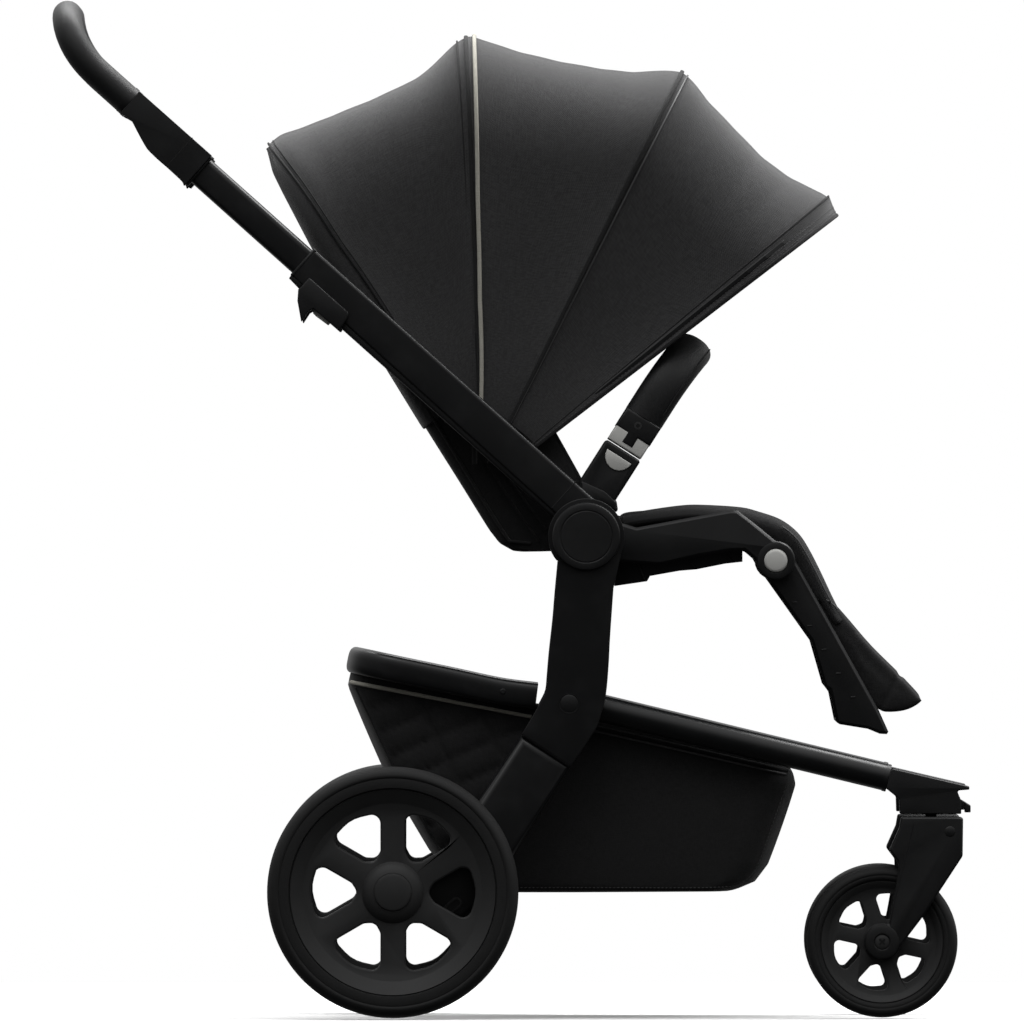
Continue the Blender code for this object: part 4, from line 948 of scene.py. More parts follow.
# ------------------------------------------------------------------ front frame
def make_casters():
    """Fork, bracket and swivel lock of each caster, with axle screws."""
    black = finish("black_plastic")
    nodes = [f"{n}_{side}" for n in ("caster_fork", "caster_bracket") for side, _ in SIDES]
    rounded_nodes(black, "plastic_black", 0.0012, nodes, 2, 30)
    rounded_nodes(black, "plastic_black", 0.0005, [f"swivel_lock_{side}" for side, _ in SIDES], 2, 30)
    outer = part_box("caster_fork_left")[1].y
    boss = [(0.0081, outer + 0.0004), (0.0090, outer + 0.0014), (0.0150, outer + 0.0014),
            (0.0172, outer + 0.0008), (0.0182, outer - 0.0006), (0.0081, outer - 0.0006)]
    both("fork_boss_{}", spun(FRONT, boss, 64, True), black, "caster_{}", "plastic_black")
    head = spun(FRONT, [(0, outer + 0.0010), (0.0060, outer + 0.0010), (0.0074, outer + 0.0002),
                        (0.0076, outer - 0.001), (0, outer - 0.001)], 40)
    for turn in (45, 135):
        groove = along_line(FRONT, turn,
                            [(-0.0040, -0.0009), (0.0040, -0.0009), (0.0040, 0.0009), (-0.0040, 0.0009)])
        head = cut(head, solid(groove, outer - 0.0004, outer + 0.003))
    both("fork_screw_{}", head, finish("wheel_plastic"), "caster_{}", "plastic_black")
    spot = Vector((0.4597, 0.1954))
    pivot = [(0, outer + 0.0007), (0.0046, outer + 0.0007), (0.0056, outer + 0.0001), (0.0058, outer - 0.001),
             (0, outer - 0.001)]
    both("fork_pivot_{}", spun(spot, pivot, 40), black, "caster_{}", "plastic_black")
    rib = curve([(0.4219, 0.2049), (0.4120, 0.1650), (0.4030, 0.1280), (0.3965, 0.0995)], 16)
    both("fork_facet_{}", hose(side_path(rib, outer - 0.0009), 0.0024, count=8), black, "caster_{}",
         "plastic_black")


def make_front_tubes():
    """Round tubes from the elbows to the brackets, with end collars, and the bar between them."""
    coat = finish("satin_coat")
    slope = radians(-13.6)
    ahead = Vector((cos(slope), 0, sin(slope)))
    start = Vector((0.060, BAR_MID, 0.3324)) - ahead * 0.012
    reach = (0.440 - 0.0445 - 0.060) / cos(slope) + 0.012
    path = [start + ahead * reach * k / 12 for k in range(13)]
    both("front_tube_{}_finished", hose(path, 0.028, (0, 0, 1), 40), coat, "front_frame", "frame_black",
         "front_tube_{}")
    end = path[-1]
    sleeve = [end - ahead * 0.0045, end - ahead * 0.0035, end - ahead * 0.0002]
    both("front_tube_collar_{}", hose(sleeve, 0.0292, (0, 0, 1), 40), finish("black_plastic"), "front_frame",
         "plastic_black")
    low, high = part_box("front_crossbar")
    centre = (low + high) / 2
    rung = [Vector((centre.x, y, centre.z)) for y in (low.y, low.y * 0.5, 0, high.y * 0.5, high.y)]
    piece("front_crossbar_finished", hose(rung, 0.020, (0, 0, 1), 32), coat, "front_frame", "frame_black",
          "front_crossbar")


# ------------------------------------------------------------------ pushbar and handle
def make_pushbar():
    """Outer tube with its hub disc, underside channel, collar seam and open end."""
    coat, black = finish("satin_coat"), finish("black_plastic")
    rounding = bpy.context.scene.stroller_finish.tube_rounding
    low, top, end = -0.0022, 0.0350, 0.4144
    outline = [(end, low), (end, top), (0, top)]
    outline += [(0.0347 * cos(radians(a)), 0.0347 * sin(radians(a))) for a in range(96, 357, 6)]
    both("pushbar_tube_{}_finished", solid(bar(outline), BAR_IN, BAR_OUT, rounding, 6), coat, "pushbar",
         "frame_black", "pushbar_tube_{}")
    channel = [(0.030, low + 0.004), (0.030, -0.0086), (end - 0.016, -0.0086), (end - 0.016, low + 0.004)]
    both("pushbar_channel_{}", solid(bar(channel), BAR_MID - 0.0098, BAR_MID + 0.0098, 0.0028, 3), black,
         "pushbar", "plastic_black")
    foot = [(end - 0.0165, low + 0.003), (end - 0.0165, -0.0072), (end - 0.001, -0.0060), (end, low + 0.002)]
    both("pushbar_foot_{}", solid(bar(foot), BAR_MID - 0.0112, BAR_MID + 0.0112, 0.0016, 2), black, "pushbar",
         "plastic_black")
    ring = [(0.0462, low + 0.0002), (0.0462, top + 0.0003), (0.0474, top + 0.0003), (0.0474, low + 0.0002)]
    both("pushbar_seam_{}", solid(bar(ring), BAR_IN - 0.0003, BAR_OUT + 0.0003, rounding, 6), black,
         "pushbar", "plastic_black")
    lip = [(end - 0.0035, low + 0.0002), (end - 0.0035, top + 0.0004), (end + 0.0006, top + 0.0002),
           (end + 0.0006, low + 0.0004)]
    both("pushbar_end_{}", solid(bar(lip), BAR_IN - 0.0004, BAR_OUT + 0.0004, rounding, 6), black, "pushbar",
         "plastic_black")


def make_triggers():
    """Fold triggers, rounded, each with its pale latch."""
    rounded_nodes(finish("black_plastic"), "plastic_black", 0.0007,
                  [f"fold_trigger_{side}" for side, _ in SIDES])
    latch = rounded([(0.352, -0.0120, 0.001), (0.352, -0.0152, 0.001), (0.3695, -0.0168, 0.002),
                     (0.3745, -0.0128, 0.001)])
    both("fold_latch_{}",
         solid(bar([(p.x, p.y) for p in latch]), BAR_MID - 0.0085, BAR_MID + 0.0085, 0.0008, 2),
         finish("pale_plastic"), "fold_trigger_{}", "plastic_grey")


def bezier(start, pull_a, pull_b, end, count):
    """Points of a cubic curve."""
    stops = [Vector(p) for p in (start, pull_a, pull_b, end)]
    return [stops[0] * (1 - t) ** 3 + stops[1] * 3 * t * (1 - t) ** 2 + stops[2] * 3 * t * t * (1 - t)
            + stops[3] * t ** 3 for t in (k / count for k in range(count + 1))]


def make_handle():
    """Inner tubes, S-shaped housings with their buttons, and the leather cross grip."""
    coat, black = finish("satin_coat"), finish("black_plastic")
    mid, tall, start, seam = 0.01665, 0.01575, 0.560, 0.661
    tube = [(0.250, mid - tall), (start + 0.004, mid - tall), (start + 0.004, mid + tall),
            (0.250, mid + tall)]
    both("handle_tube_{}_finished", solid(bar(tube), BAR_MID - 0.0095, BAR_MID + 0.0095, 0.0065, 5), coat,
         "handle", "frame_black", "handle_tube_{}")
    under = curve([(start + 0.0006, -0.0070), (start + 0.006, -0.0050), (start + 0.027, -0.0044),
                   (start + 0.050, -0.0045), (start + 0.060, -0.0025), (start + 0.075, 0.0028),
                   (start + 0.0865, 0.0070), (start + 0.0935, 0.0068), (seam - 0.002, 0.0054),
                   (seam, 0.0050)], 30)
    shell = [(start, 0.0362), (start, -0.0064)] + [(p[0], p[1]) for p in under] + [(seam, 0.0358)]
    both("handle_housing_{}_finished", solid(bar(shell), BAR_MID - 0.016, BAR_MID + 0.016, 0.0072, 5), black,
         "handle", "plastic_black", "handle_housing_{}")
    collar = [(start + 0.0005, 0.0352), (start + 0.0005, -0.0052), (start - 0.0030, -0.0040),
              (start - 0.0030, 0.0345)]
    both("handle_collar_{}", solid(bar(collar), BAR_MID - 0.0135, BAR_MID + 0.0135, 0.006, 4), black,
         "handle", "plastic_black")
    step = [(start + 0.0268, 0.0366), (start + 0.0268, -0.0040), (start + 0.0276, -0.0040),
            (start + 0.0276, 0.0366)]
    both("handle_seam_{}", solid(bar(step), BAR_MID - 0.0162, BAR_MID + 0.0162, 0.0073, 5),
         finish("tyre_rubber"), "handle", "plastic_black")
    make_height_buttons()
    make_grip(seam + 0.0003, mid + 0.004)


def make_height_buttons():
    """Soft-edged height buttons on the inner faces of the housings."""
    low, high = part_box("height_button_left")
    spot = ((low + high) / 2).xz
    dome = [(0, low.y + 0.0004), (0.0050, low.y), (0.0068, low.y + 0.0003), (0.0077, low.y + 0.0013),
            (0.0080, low.y + 0.0030), (0.0080, high.y), (0, high.y)]
    both("height_button_{}_finished", spun(spot, dome, 48), finish("pale_plastic"), "height_button_{}",
         "plastic_grey", "height_button_{}")


def make_grip(start, rise):
    """Leather cross grip, bent in and up from both housings, with a stitched seam underneath."""
    def spot(s, t, y):
        x, z = bar([(s, t)])[0]
        return Vector((x, y, z))
    reach, lift, bend = 0.772, 0.045, start + 0.045
    half = [spot(start + 0.045 * k / 4, rise, BAR_MID) for k in range(4)]
    half += bezier(spot(bend, rise, BAR_MID), spot(bend + 0.046, rise, BAR_MID),
                   spot(reach, lift, BAR_MID), spot(reach, lift, BAR_MID - 0.075), 20)
    half += [spot(reach, lift, (BAR_MID - 0.075) * (1 - k / 10)) for k in range(1, 11)]
    side_way = Vector(bar([(0, 1)])[0]) - Vector(HUB)
    normal = (side_way.x, 0, side_way.y)
    path = across_path(half)
    grip = hose(path, 0.031, normal, 28)
    piece("handle_grip_finished", grip, finish("leather"), "handle", "grip_leather", "handle_grip")
    under = [ring[20] for ring in rings(path, oval(0.0313, 0.0313, 28), normal)]
    piece("grip_seam", hose(under[4:-4], 0.0016, normal, 6), finish("seam_cloth"), "handle", "grip_leather")
    sew = [ring[k] for k in (19, 21) for ring in rings(path, oval(0.0314, 0.0314, 28), normal)]
    count = len(path)
    lines = merged([stitches(sew[:count][4:-4], 0.005, 0.0009, 0.0034),
                    stitches(sew[count:][4:-4], 0.005, 0.0009, 0.0034)])
    piece("grip_stitches", lines, finish("thread"), "handle", "grip_leather")
    band = [spot(start + s, rise, BAR_MID) for s in (0.0002, 0.0012, 0.0040, 0.0050)]
    both("grip_ring_{}", hose(band, 0.0322, normal, 36), finish("black_plastic"), "handle", "plastic_black")


# ------------------------------------------------------------------ seat unit: hard parts
def make_seat_frame():
    """Side rails and pan, knee bezels, ribs and buttons."""
    black = finish("black_plastic")
    rounded_nodes(black, "plastic_black", 0.0012, ["seat_frame"], 2, 30)
    half = RAIL_OUT - 0.019
    ribs = []
    for foot, head in (((0.1290, 0.4840), (0.1385, 0.4592)), ((0.1869, 0.4780), (0.1922, 0.4712)),
                       ((0.2258, 0.4846), (0.2305, 0.4782))):
        foot, head = Vector(foot), Vector(head)
        wide = Vector((0.0016, 0.0))
        ribs.append(solid([foot, head, head + wide, foot + wide], half - 0.001, half + 0.004, 0.0004, 1))
    both("pan_ribs_{}", merged(ribs), black, "seat", "plastic_black")
    bezel = [(0.0129, RAIL_OUT - 0.001), (0.0129, RAIL_OUT + 0.0002), (0.0136, RAIL_OUT + 0.0009),
             (0.0170, RAIL_OUT + 0.0009), (0.0190, RAIL_OUT + 0.0004), (0.0200, RAIL_OUT - 0.0008)]
    both("knee_bezel_{}", spun(KNEE, bezel, 72, True), black, "seat", "plastic_black")
    low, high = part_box("legrest_button_left")
    cap = [(0, high.y), (0.0090, high.y - 0.0001), (0.0110, high.y - 0.0007), (0.0121, high.y - 0.0018),
           (0.0124, high.y - 0.0032), (0.0124, low.y), (0, low.y)]
    both("legrest_button_{}_finished", spun(KNEE, cap, 64), finish("pale_plastic"), "legrest_button_{}",
         "plastic_grey", "legrest_button_{}")


def make_legrest():
    """Leg rest tray with its ticks and toe edge."""
    black = finish("black_plastic")
    rounded_nodes(black, "plastic_black", 0.0012, ["legrest_frame"], 2, 30)
    first, last, half = Vector((0.2940, 0.4363)), Vector((0.3549, 0.3365)), PAD_HALF
    ticks = []
    for k in range(5):
        spot = first.lerp(last, k / 4) + Vector((0.0008, 0.0004))
        ticks.append(solid([spot + Vector(p) for p in ((0, 0), (0.0052, 0.0004), (0.0052, -0.0010),
                                                       (0, -0.0014))],
                           half - 0.0006, half + 0.0008, 0.0003, 1))
    both("legrest_ticks_{}", merged(ticks), finish("wheel_plastic"), "legrest", "plastic_black")


# ------------------------------------------------------------------ bumper bar
def make_bumper():
    """Leather-covered bumper bar on its pale connectors, with sockets and half-moon buttons."""
    black, pale = finish("black_plastic"), finish("pale_plastic")
    lean = radians(BUMPER_ANGLE)
    ahead, normal = Vector((cos(lean), 0, sin(lean))), Vector((-sin(lean), 0, cos(lean)))
    wide, thick = 0.043, 0.030
    y = RAIL_OUT - 0.0035 - thick / 2
    foot = Vector((BUMPER_FOOT.x, y, BUMPER_FOOT.y))
    start = foot + ahead * 0.0402
    bend, top = foot + ahead * 0.0628, foot + ahead * 0.1268 - normal * 0.004
    end = Vector((top.x, y - 0.062, top.z))
    half = [start + (bend - start) * k / 4 for k in range(4)]
    half += bezier(bend, bend + ahead * 0.040, end + Vector((0, 0.040, 0)), end, 20)
    half += [Vector((end.x, end.y * (1 - k / 8), end.z)) for k in range(1, 9)]
    path = across_path(half)
    piece("bumper_bar_finished", hose(path, thick, normal, 36, wide, 0.88), finish("leather"), "bumper",
          "grip_leather", "bumper_bar")
    inner = [ring[22] for ring in rings(path, oval(wide + 0.0003, thick + 0.0003, 36, 0.88), normal)]
    piece("bumper_seam", hose(inner[2:-2], 0.0018, normal, 6), finish("seam_cloth"), "bumper", "grip_leather")

    def local(points):
        return along_line(BUMPER_FOOT, BUMPER_ANGLE, points)
    shell = local([(0.0178, -0.0212), (0.0406, -0.0212), (0.0406, 0.0212), (0.0178, 0.0212), (0.0178, 0.0066),
                   (0.0058, 0.0068), (0.0058, -0.0072), (0.0178, -0.0070)])
    both("bumper_shoe_{}", solid(shell, y - 0.0135, y + 0.0152, 0.0030, 4), black, "bumper", "plastic_black")
    tongue = local([(0.0016, -0.0205), (0.0192, -0.0205), (0.0192, 0.0205), (0.0016, 0.0205)])
    both("bumper_tongue_{}", solid(tongue, y - 0.0125, y + 0.0142, 0.0022, 3), pale, "bumper", "plastic_grey")
    screw = Vector((0.1323, 0.6211))
    head = spun(screw, [(0, y + 0.0150), (0.0020, y + 0.0150), (0.0022, y + 0.0156), (0.0038, y + 0.0156),
                        (0.0043, y + 0.0150), (0.0043, y + 0.0140), (0, y + 0.0140)], 32)
    both("bumper_screw_{}", head, finish("wheel_plastic"), "bumper", "plastic_black")
    rounded_nodes(black, "plastic_black", 0.0016, [f"bumper_socket_{side}" for side, _ in SIDES], 3, 30)
    rounded_nodes(pale, "plastic_grey", 0.0007, [f"bumper_button_{side}" for side, _ in SIDES], 2, 50)
    sleeve = rounded([(0.0719, 0.5644, 0.002), (0.0982, 0.5528, 0.02), (0.1099, 0.5413, 0.004),
                      (0.1081, 0.5330, 0.002), (0.0725, 0.5400, 0.002)])
    both("bumper_base_{}", solid(sleeve, RAIL_OUT - 0.020, RAIL_OUT - 0.0004, 0.003, 3), black, "seat",
         "plastic_black")


# ------------------------------------------------------------------ cloth
def sheet_of(rows, thin, closed=False):
    """Thin closed cloth over rows of points."""
    bm = skin(rows, closed)
    bmesh.ops.recalc_face_normals(bm, faces=bm.faces)
    bmesh.ops.solidify(bm, geom=bm.faces[:], thickness=thin)
    bmesh.ops.recalc_face_normals(bm, faces=bm.faces)
    return bm


def area_of(rows, closed=False):
    """Area of the surface over rows of points."""
    bm = skin(rows, closed)
    area = sum(face.calc_area() for face in bm.faces)
    bm.free()
    return area


def boxed_map(bm):
    """Gives every face a map in metres, seen along its main direction."""
    chart = bm.loops.layers.uv.verify()
    for face in bm.faces:
        n = face.normal
        main = max(range(3), key=lambda k: abs(n[k]))
        for loop in face.loops:
            x, y, z = loop.vert.co
            loop[chart].uv = ((y, z), (x, z), (x, y))[main]
    return bm


def remeshed(bm, voxel):
    """Even quads over a closed shape."""
    mesh = bpy.data.meshes.new("pad")
    bm.to_mesh(mesh)
    bm.free()
    holder = bpy.data.objects.new("pad", mesh)
    bpy.context.scene.collection.objects.link(holder)
    step = holder.modifiers.new("even", "REMESH")
    step.mode, step.voxel_size = "VOXEL", voxel
    evaluated = holder.evaluated_get(bpy.context.evaluated_depsgraph_get())
    made = bmesh.new()
    made.from_mesh(evaluated.to_mesh())
    evaluated.to_mesh_clear()
    bpy.data.objects.remove(holder)
    bpy.data.meshes.remove(mesh)
    return made


def inflated(bm, voxel=0.006, reach=0.008, pressure=4.0, fence=None):
    """Pad swollen by air pressure, with no point moved further than its reach or past its fence."""
    made = remeshed(bm, voxel)
    bmesh.ops.smooth_vert(made, verts=made.verts, factor=0.5, use_axis_x=True, use_axis_y=True,
                          use_axis_z=True)
    if bpy.context.scene.stroller_sewing.inflate:
        mesh = bpy.data.meshes.new("pad")
        made.to_mesh(mesh)
        holder = bpy.data.objects.new("pad", mesh)
        scene = bpy.context.scene
        scene.collection.objects.link(holder)
        cloth = holder.modifiers.new("air", "CLOTH")
        cloth.settings.use_pressure = True
        cloth.settings.uniform_pressure_force = pressure
        cloth.settings.tension_stiffness = cloth.settings.compression_stiffness = 20
        cloth.settings.effector_weights.gravity = 0
        for moment in range(1, 21):
            scene.frame_set(moment)
        evaluated = holder.evaluated_get(bpy.context.evaluated_depsgraph_get())
        swollen = evaluated.to_mesh()
        made.verts.ensure_lookup_table()
        for v, s in zip(made.verts, swollen.vertices):
            step = s.co - v.co
            v.co += step * min(1.0, reach / max(step.length, 1e-9))
        evaluated.to_mesh_clear()
        scene.frame_set(1)
        bpy.data.objects.remove(holder)
        bpy.data.meshes.remove(mesh)
    if fence:
        for v in made.verts:
            v.co = fence(v.co)
    bmesh.ops.recalc_face_normals(made, faces=made.faces)
    return made


def pressed(bm, depth_at):
    """Sinks each point along its normal by a depth that its place gives."""
    bm.normal_update()
    moves = [(v, v.normal * depth_at(v.co)) for v in bm.verts]
    for v, step in moves:
        v.co -= step
    bm.normal_update()
    return bm


def groove(distance, width=0.004, depth=0.004):
    """Depth of a sewn channel at a distance from its line."""
    return depth * max(0.0, 1 - (distance / width) ** 2) if abs(distance) < width else 0.0


def bulge(x, share=0.5):
    """0 at both ends of 0..1, round between them."""
    return max(0.0, 4 * x * (1 - x)) ** share


def off_line(spot, a, b):
    """Distance of a side-view point from a straight line."""
    a, b, spot = Vector(a), Vector(b), Vector(spot)
    ahead = (b - a).normalized()
    return (spot - a).cross(ahead)


# ------------------------------------------------------------------ basket
BASKET_TOP = [(-0.1680, 0.3670), (-0.1176, 0.3575), (-0.0651, 0.3460), (-0.0131, 0.3350), (0.0300, 0.3285),
              (0.0876, 0.3165), (0.1900, 0.2920), (0.2898, 0.2655)]
BASKET_REAR = [(-0.0441, 0.1307), (-0.0819, 0.1738), (-0.1029, 0.2105), (-0.1323, 0.2651), (-0.1700, 0.3480),
               (-0.1680, 0.3670)]
BASKET_FRONT = [(0.2300, 0.1320), (0.2520, 0.1420), (0.2646, 0.1601), (0.2800, 0.2030), (0.2948, 0.2440),
                (0.2935, 0.2550), (0.2898, 0.2655)]
BASKET_BOTTOM = [(-0.0441, 0.1307), (0.2300, 0.1320)]
BASKET_SIDE = 0.1815
BASKET_CORNER = 0.030   # radius of the tub's upright corners
BASKET_FLARE = 0.0075   # how far the tub's top turns out to meet the rim


def spot_on(line, share):
    """Point at a share of a line's length."""
    line = [Vector(p) for p in line]
    want = length_of(line) * clamped(share)
    for a, b in zip(line, line[1:]):
        step = (b - a).length
        if want <= step:
            return a.lerp(b, want / max(step, 1e-9))
        want -= step
    return line[-1]


def basket_spot(f, w):
    """Side-view point of the basket at a share of its length and of its height."""
    low, high = spot_on(BASKET_BOTTOM, f), spot_on(BASKET_TOP, f)
    rear, front = spot_on(BASKET_REAR, w), spot_on(BASKET_FRONT, w)
    a, b, c, d = (Vector(p) for p in (BASKET_BOTTOM[0], BASKET_BOTTOM[-1], BASKET_TOP[0], BASKET_TOP[-1]))
    corners = (a * (1 - f) + b * f) * (1 - w) + (c * (1 - f) + d * f) * w
    return low * (1 - w) + high * w + rear * (1 - f) + front * f - corners


def basket_swell(f, w):
    """How far the basket's side stands out between its seams."""
    return 0.0045 * bulge(f, 0.8) * bulge(w, 0.8) - 0.0012 * sin(9.0 * f + 2.0) * bulge(w)


def edge_at(line, height):
    """Distance ahead of a side-view line at a height."""
    for a, b in zip(line, line[1:]):
        if a[1] <= height <= b[1]:
            return a[0] + (b[0] - a[0]) * (height - a[1]) / max(b[1] - a[1], 1e-9)
    return line[0][0] if height < line[0][1] else line[-1][0]


def basket_side(spot, out=0.0):
    """Point on the tub's left side over a side-view point, with the tub's round corners."""
    near = min(spot[0] - edge_at(BASKET_REAR, spot[1]), edge_at(BASKET_FRONT, spot[1]) - spot[0])
    turn = clamped(1 - near / BASKET_CORNER)
    swell = basket_swell(clamped((spot[0] + 0.17) / 0.46), clamped((spot[1] - 0.13) / 0.18))
    rounding = (1 - sqrt(1 - turn * turn)) * BASKET_CORNER
    y = BASKET_SIDE + out + swell * min(1.0, max(0.0, near) / BASKET_CORNER) - rounding
    return Vector((spot[0], y, spot[1]))


def quilting(spot, pitch):
    """Depth of the quilting's channels at a side-view point behind the leg."""
    front = off_line(spot, (0.0363, 0.2800), (-0.0490, 0.1500))
    if front < -0.004:
        return 0.0
    lines = 0.0
    for angle, step in ((23.5, pitch), (-65.0, pitch * 1.95)):
        across = Vector((-sin(radians(angle)), cos(radians(angle))))
        place = (Vector(spot).dot(across) / step) % 1.0
        lines = max(lines, 0.0046 * (1 - 2 * min(place, 1 - place)) ** (5 if angle > 0 else 9))
    return lines * min(1.0, (front + 0.004) / 0.004)


def make_basket():
    """Rim bar round the rear of the basket, and the fabric tub with its quilted rear."""
    coat, black, cloth = finish("satin_coat"), finish("black_plastic"), finish("basket_cloth")
    sewing = bpy.context.scene.stroller_sewing
    rim_y = BAR_IN + 0.0095
    line = curve([(0.026, 0.3372), (-0.0131, 0.3423), (-0.0651, 0.3534), (-0.1176, 0.3643)], 20)
    half = side_path(line, rim_y)
    half += bezier(half[-1], half[-1] + Vector((-0.042, 0, 0.0090)), Vector((-0.1646, rim_y - 0.030, 0.3745)),
                   Vector((-0.1646, rim_y - 0.075, 0.3745)), 14)[1:]
    half += [Vector((-0.1646, (rim_y - 0.075) * (1 - k / 6), 0.3745)) for k in range(1, 7)]
    piece("basket_rim_finished", hose(across_path(half), 0.017, (0.2, 0, 1), 28, 0.027, 0.6), coat,
          "front_frame", "frame_black", "basket_rim")
    pin = spun((-0.0095, 0.3424), [(0, rim_y + 0.0098), (0.0022, rim_y + 0.0098), (0.0030, rim_y + 0.0090),
                                    (0.0030, rim_y + 0.006), (0, rim_y + 0.006)], 24)
    both("basket_rim_pin_{}", pin, black, "front_frame", "plastic_black")

    def ring(inset, w):
        """Ring of the tub at a share of its height, drawn in by an inset."""
        points, count, corner = [], 118, BASKET_CORNER
        side = BASKET_SIDE - inset
        rear, front = basket_spot(0, w).x + inset, basket_spot(1, w).x - inset
        reach = front - rear
        for k in range(count + 1):
            f = k / count
            spot = basket_spot(f, w)
            spot.x = rear + (front - rear) * (spot.x - rear + inset) / (reach + 2 * inset)
            near = min(f, 1 - f) * reach
            turn = max(0.0, 1 - near / corner)
            rounding = (1 - sqrt(max(0.0, 1 - turn * turn))) * corner
            y = side + basket_swell(f, w) * min(1.0, near / corner) - rounding
            depth = quilting(spot, sewing.quilt) if turn < 0.6 and 0.06 < w < 0.94 else 0.0
            flare = BASKET_FLARE * clamped((w - 0.945) / 0.04) * clamped((0.05 - spot.x) / 0.03)
            points.append(Vector((spot.x, y - depth + flare, spot.y)))
        ends = 14
        front_row = [points[-1].lerp(Vector((points[-1].x, -points[-1].y, points[-1].z)), k / ends)
                     for k in range(1, ends)]
        rear_row = [Vector((points[0].x, -points[0].y, points[0].z)).lerp(points[0], k / ends)
                    for k in range(1, ends)]
        for row, out in ((front_row, 1), (rear_row, -1)):
            for k, p in enumerate(row):
                p.x += out * 0.006 * bulge((k + 1) / ends) * bulge(w)
        return points + front_row + [Vector((p.x, -p.y, p.z)) for p in reversed(points)] + rear_row

    edge = ring(0.010, 0)
    hub = sum(edge, Vector()) / len(edge)
    rows = [[hub] * len(edge)] + [[hub.lerp(p, s) for p in edge] for s in (0.25, 0.5, 0.75, 0.93)]
    rows += [edge, ring(0.0045, 0.006), ring(0.0012, 0.022), ring(0, 0.05)]
    rows += [ring(0, 0.05 + 0.945 * k / 46) for k in range(1, 47)]
    for row in rows:
        for k, p in enumerate(row):
            p.z = max(p.z, 0.1312)
    tub = piece("basket_finished", sheet_of(rows, 0.0016, True), cloth, "front_frame", "basket_fabric",
                "basket", crease=0)
    rim = ring(0, 0.995)
    around = length_of(rim + rim[:1])
    min(area_of(rows, True), 0.39 * around)

    def seam(name, stops, thick, material, slot, out=0.0, count=40):
        """Cord sewn along side-view points of the tub, on both sides."""
        path = [basket_side(spot, out) for spot in evened(curve(stops, 60), count)]
        both(name, hose(path, thick, (0, 0, 1), 10), finish(material), "front_frame", slot)
        return path
    seam("basket_piping_{}", [(-0.1690, 0.3520), (-0.0750, 0.3342), (0.0205, 0.3160)], sewing.piping,
         "piping_cloth", "basket_fabric", 0.0012)
    seam("basket_front_piping_{}", [(0.0857, 0.3010), (0.1900, 0.2775), (0.2878, 0.2550)],
         sewing.piping * 0.55, "thread", "basket_fabric", 0.0002)
    tape = seam("basket_zip_{}", [(0.0500, 0.3100), (0.0876, 0.3050), (0.1900, 0.2820), (0.2890, 0.2590)],
                0.0042, "seam_cloth", "basket_fabric", 0.0004)
    teeth = [p + Vector((0, 0.0021, 0.0006)) for p in tape]
    both("basket_zip_teeth_{}", stitches(teeth, 0.0026, 0.0014, 0.0019), finish("tyre_rubber"), "front_frame",
         "plastic_black")
    seam("basket_rear_seam_{}", [(-0.0400, 0.1400), (-0.0766, 0.1780), (-0.0976, 0.2130), (-0.1270, 0.2680),
                                 (-0.1640, 0.3460)], sewing.seam, "seam_cloth", "basket_fabric", 0.0)
    hem = evened(curve([(-0.0300, 0.1362), (0.0900, 0.1362), (0.2150, 0.1366), (0.2440, 0.1430),
                        (0.2590, 0.1620), (0.2740, 0.2040), (0.2880, 0.2430)], 60), 90)
    both("basket_edge_stitches_{}", stitches([basket_side(spot, 0.0004) for spot in hem], sewing.stitch,
                                             0.0010,
                                             0.0032), finish("thread"), "front_frame", "basket_fabric")


# ------------------------------------------------------------------ seat fabrics
def make_seat_pad():
    """Seat pad swollen between the rails, with a sewn channel across it."""
    kx, kz = KNEE
    hx, hz = HUB
    half = PAD_HALF
    outline = rounded([(hx + 0.026, hz - 0.008, 0.006), (hx + 0.020, hz + 0.014, 0.008),
                       (hx + 0.036, hz + 0.018, 0.02), (hx + 0.120, hz + 0.024, 0.10),
                       (kx - 0.024, kz + 0.044, 0.02), (kx + 0.004, kz + 0.033, 0.01),
                       (kx - 0.002, kz + 0.0275, 0.004),
                       (kx - 0.034, kz + 0.019, 0.01), (hx + 0.100, hz - 0.001, 0.02)])
    bm = inflated(solid(outline, -half + 0.004, half - 0.004, 0.007, 3), 0.0055, 0.0075,
                  fence=lambda p: Vector((p.x, min(half + 0.002, max(-half - 0.002, p.y)), p.z)))

    def channel(p):
        if p.z < kz + 0.02:
            return 0.0
        depth = groove(p.x - (kx - 0.052), 0.006, 0.005)
        return max(depth,
                   groove(abs(p.y) - (half - 0.034), 0.006, 0.004) * clamped((p.x - 0.12) / 0.01))
    pad = piece("seat_pad", boxed_map(pressed(bm, channel)), finish("seat_cloth"), "seat", "seat_fabric",
                "seat_cushion", crease=0, subdivide=1)


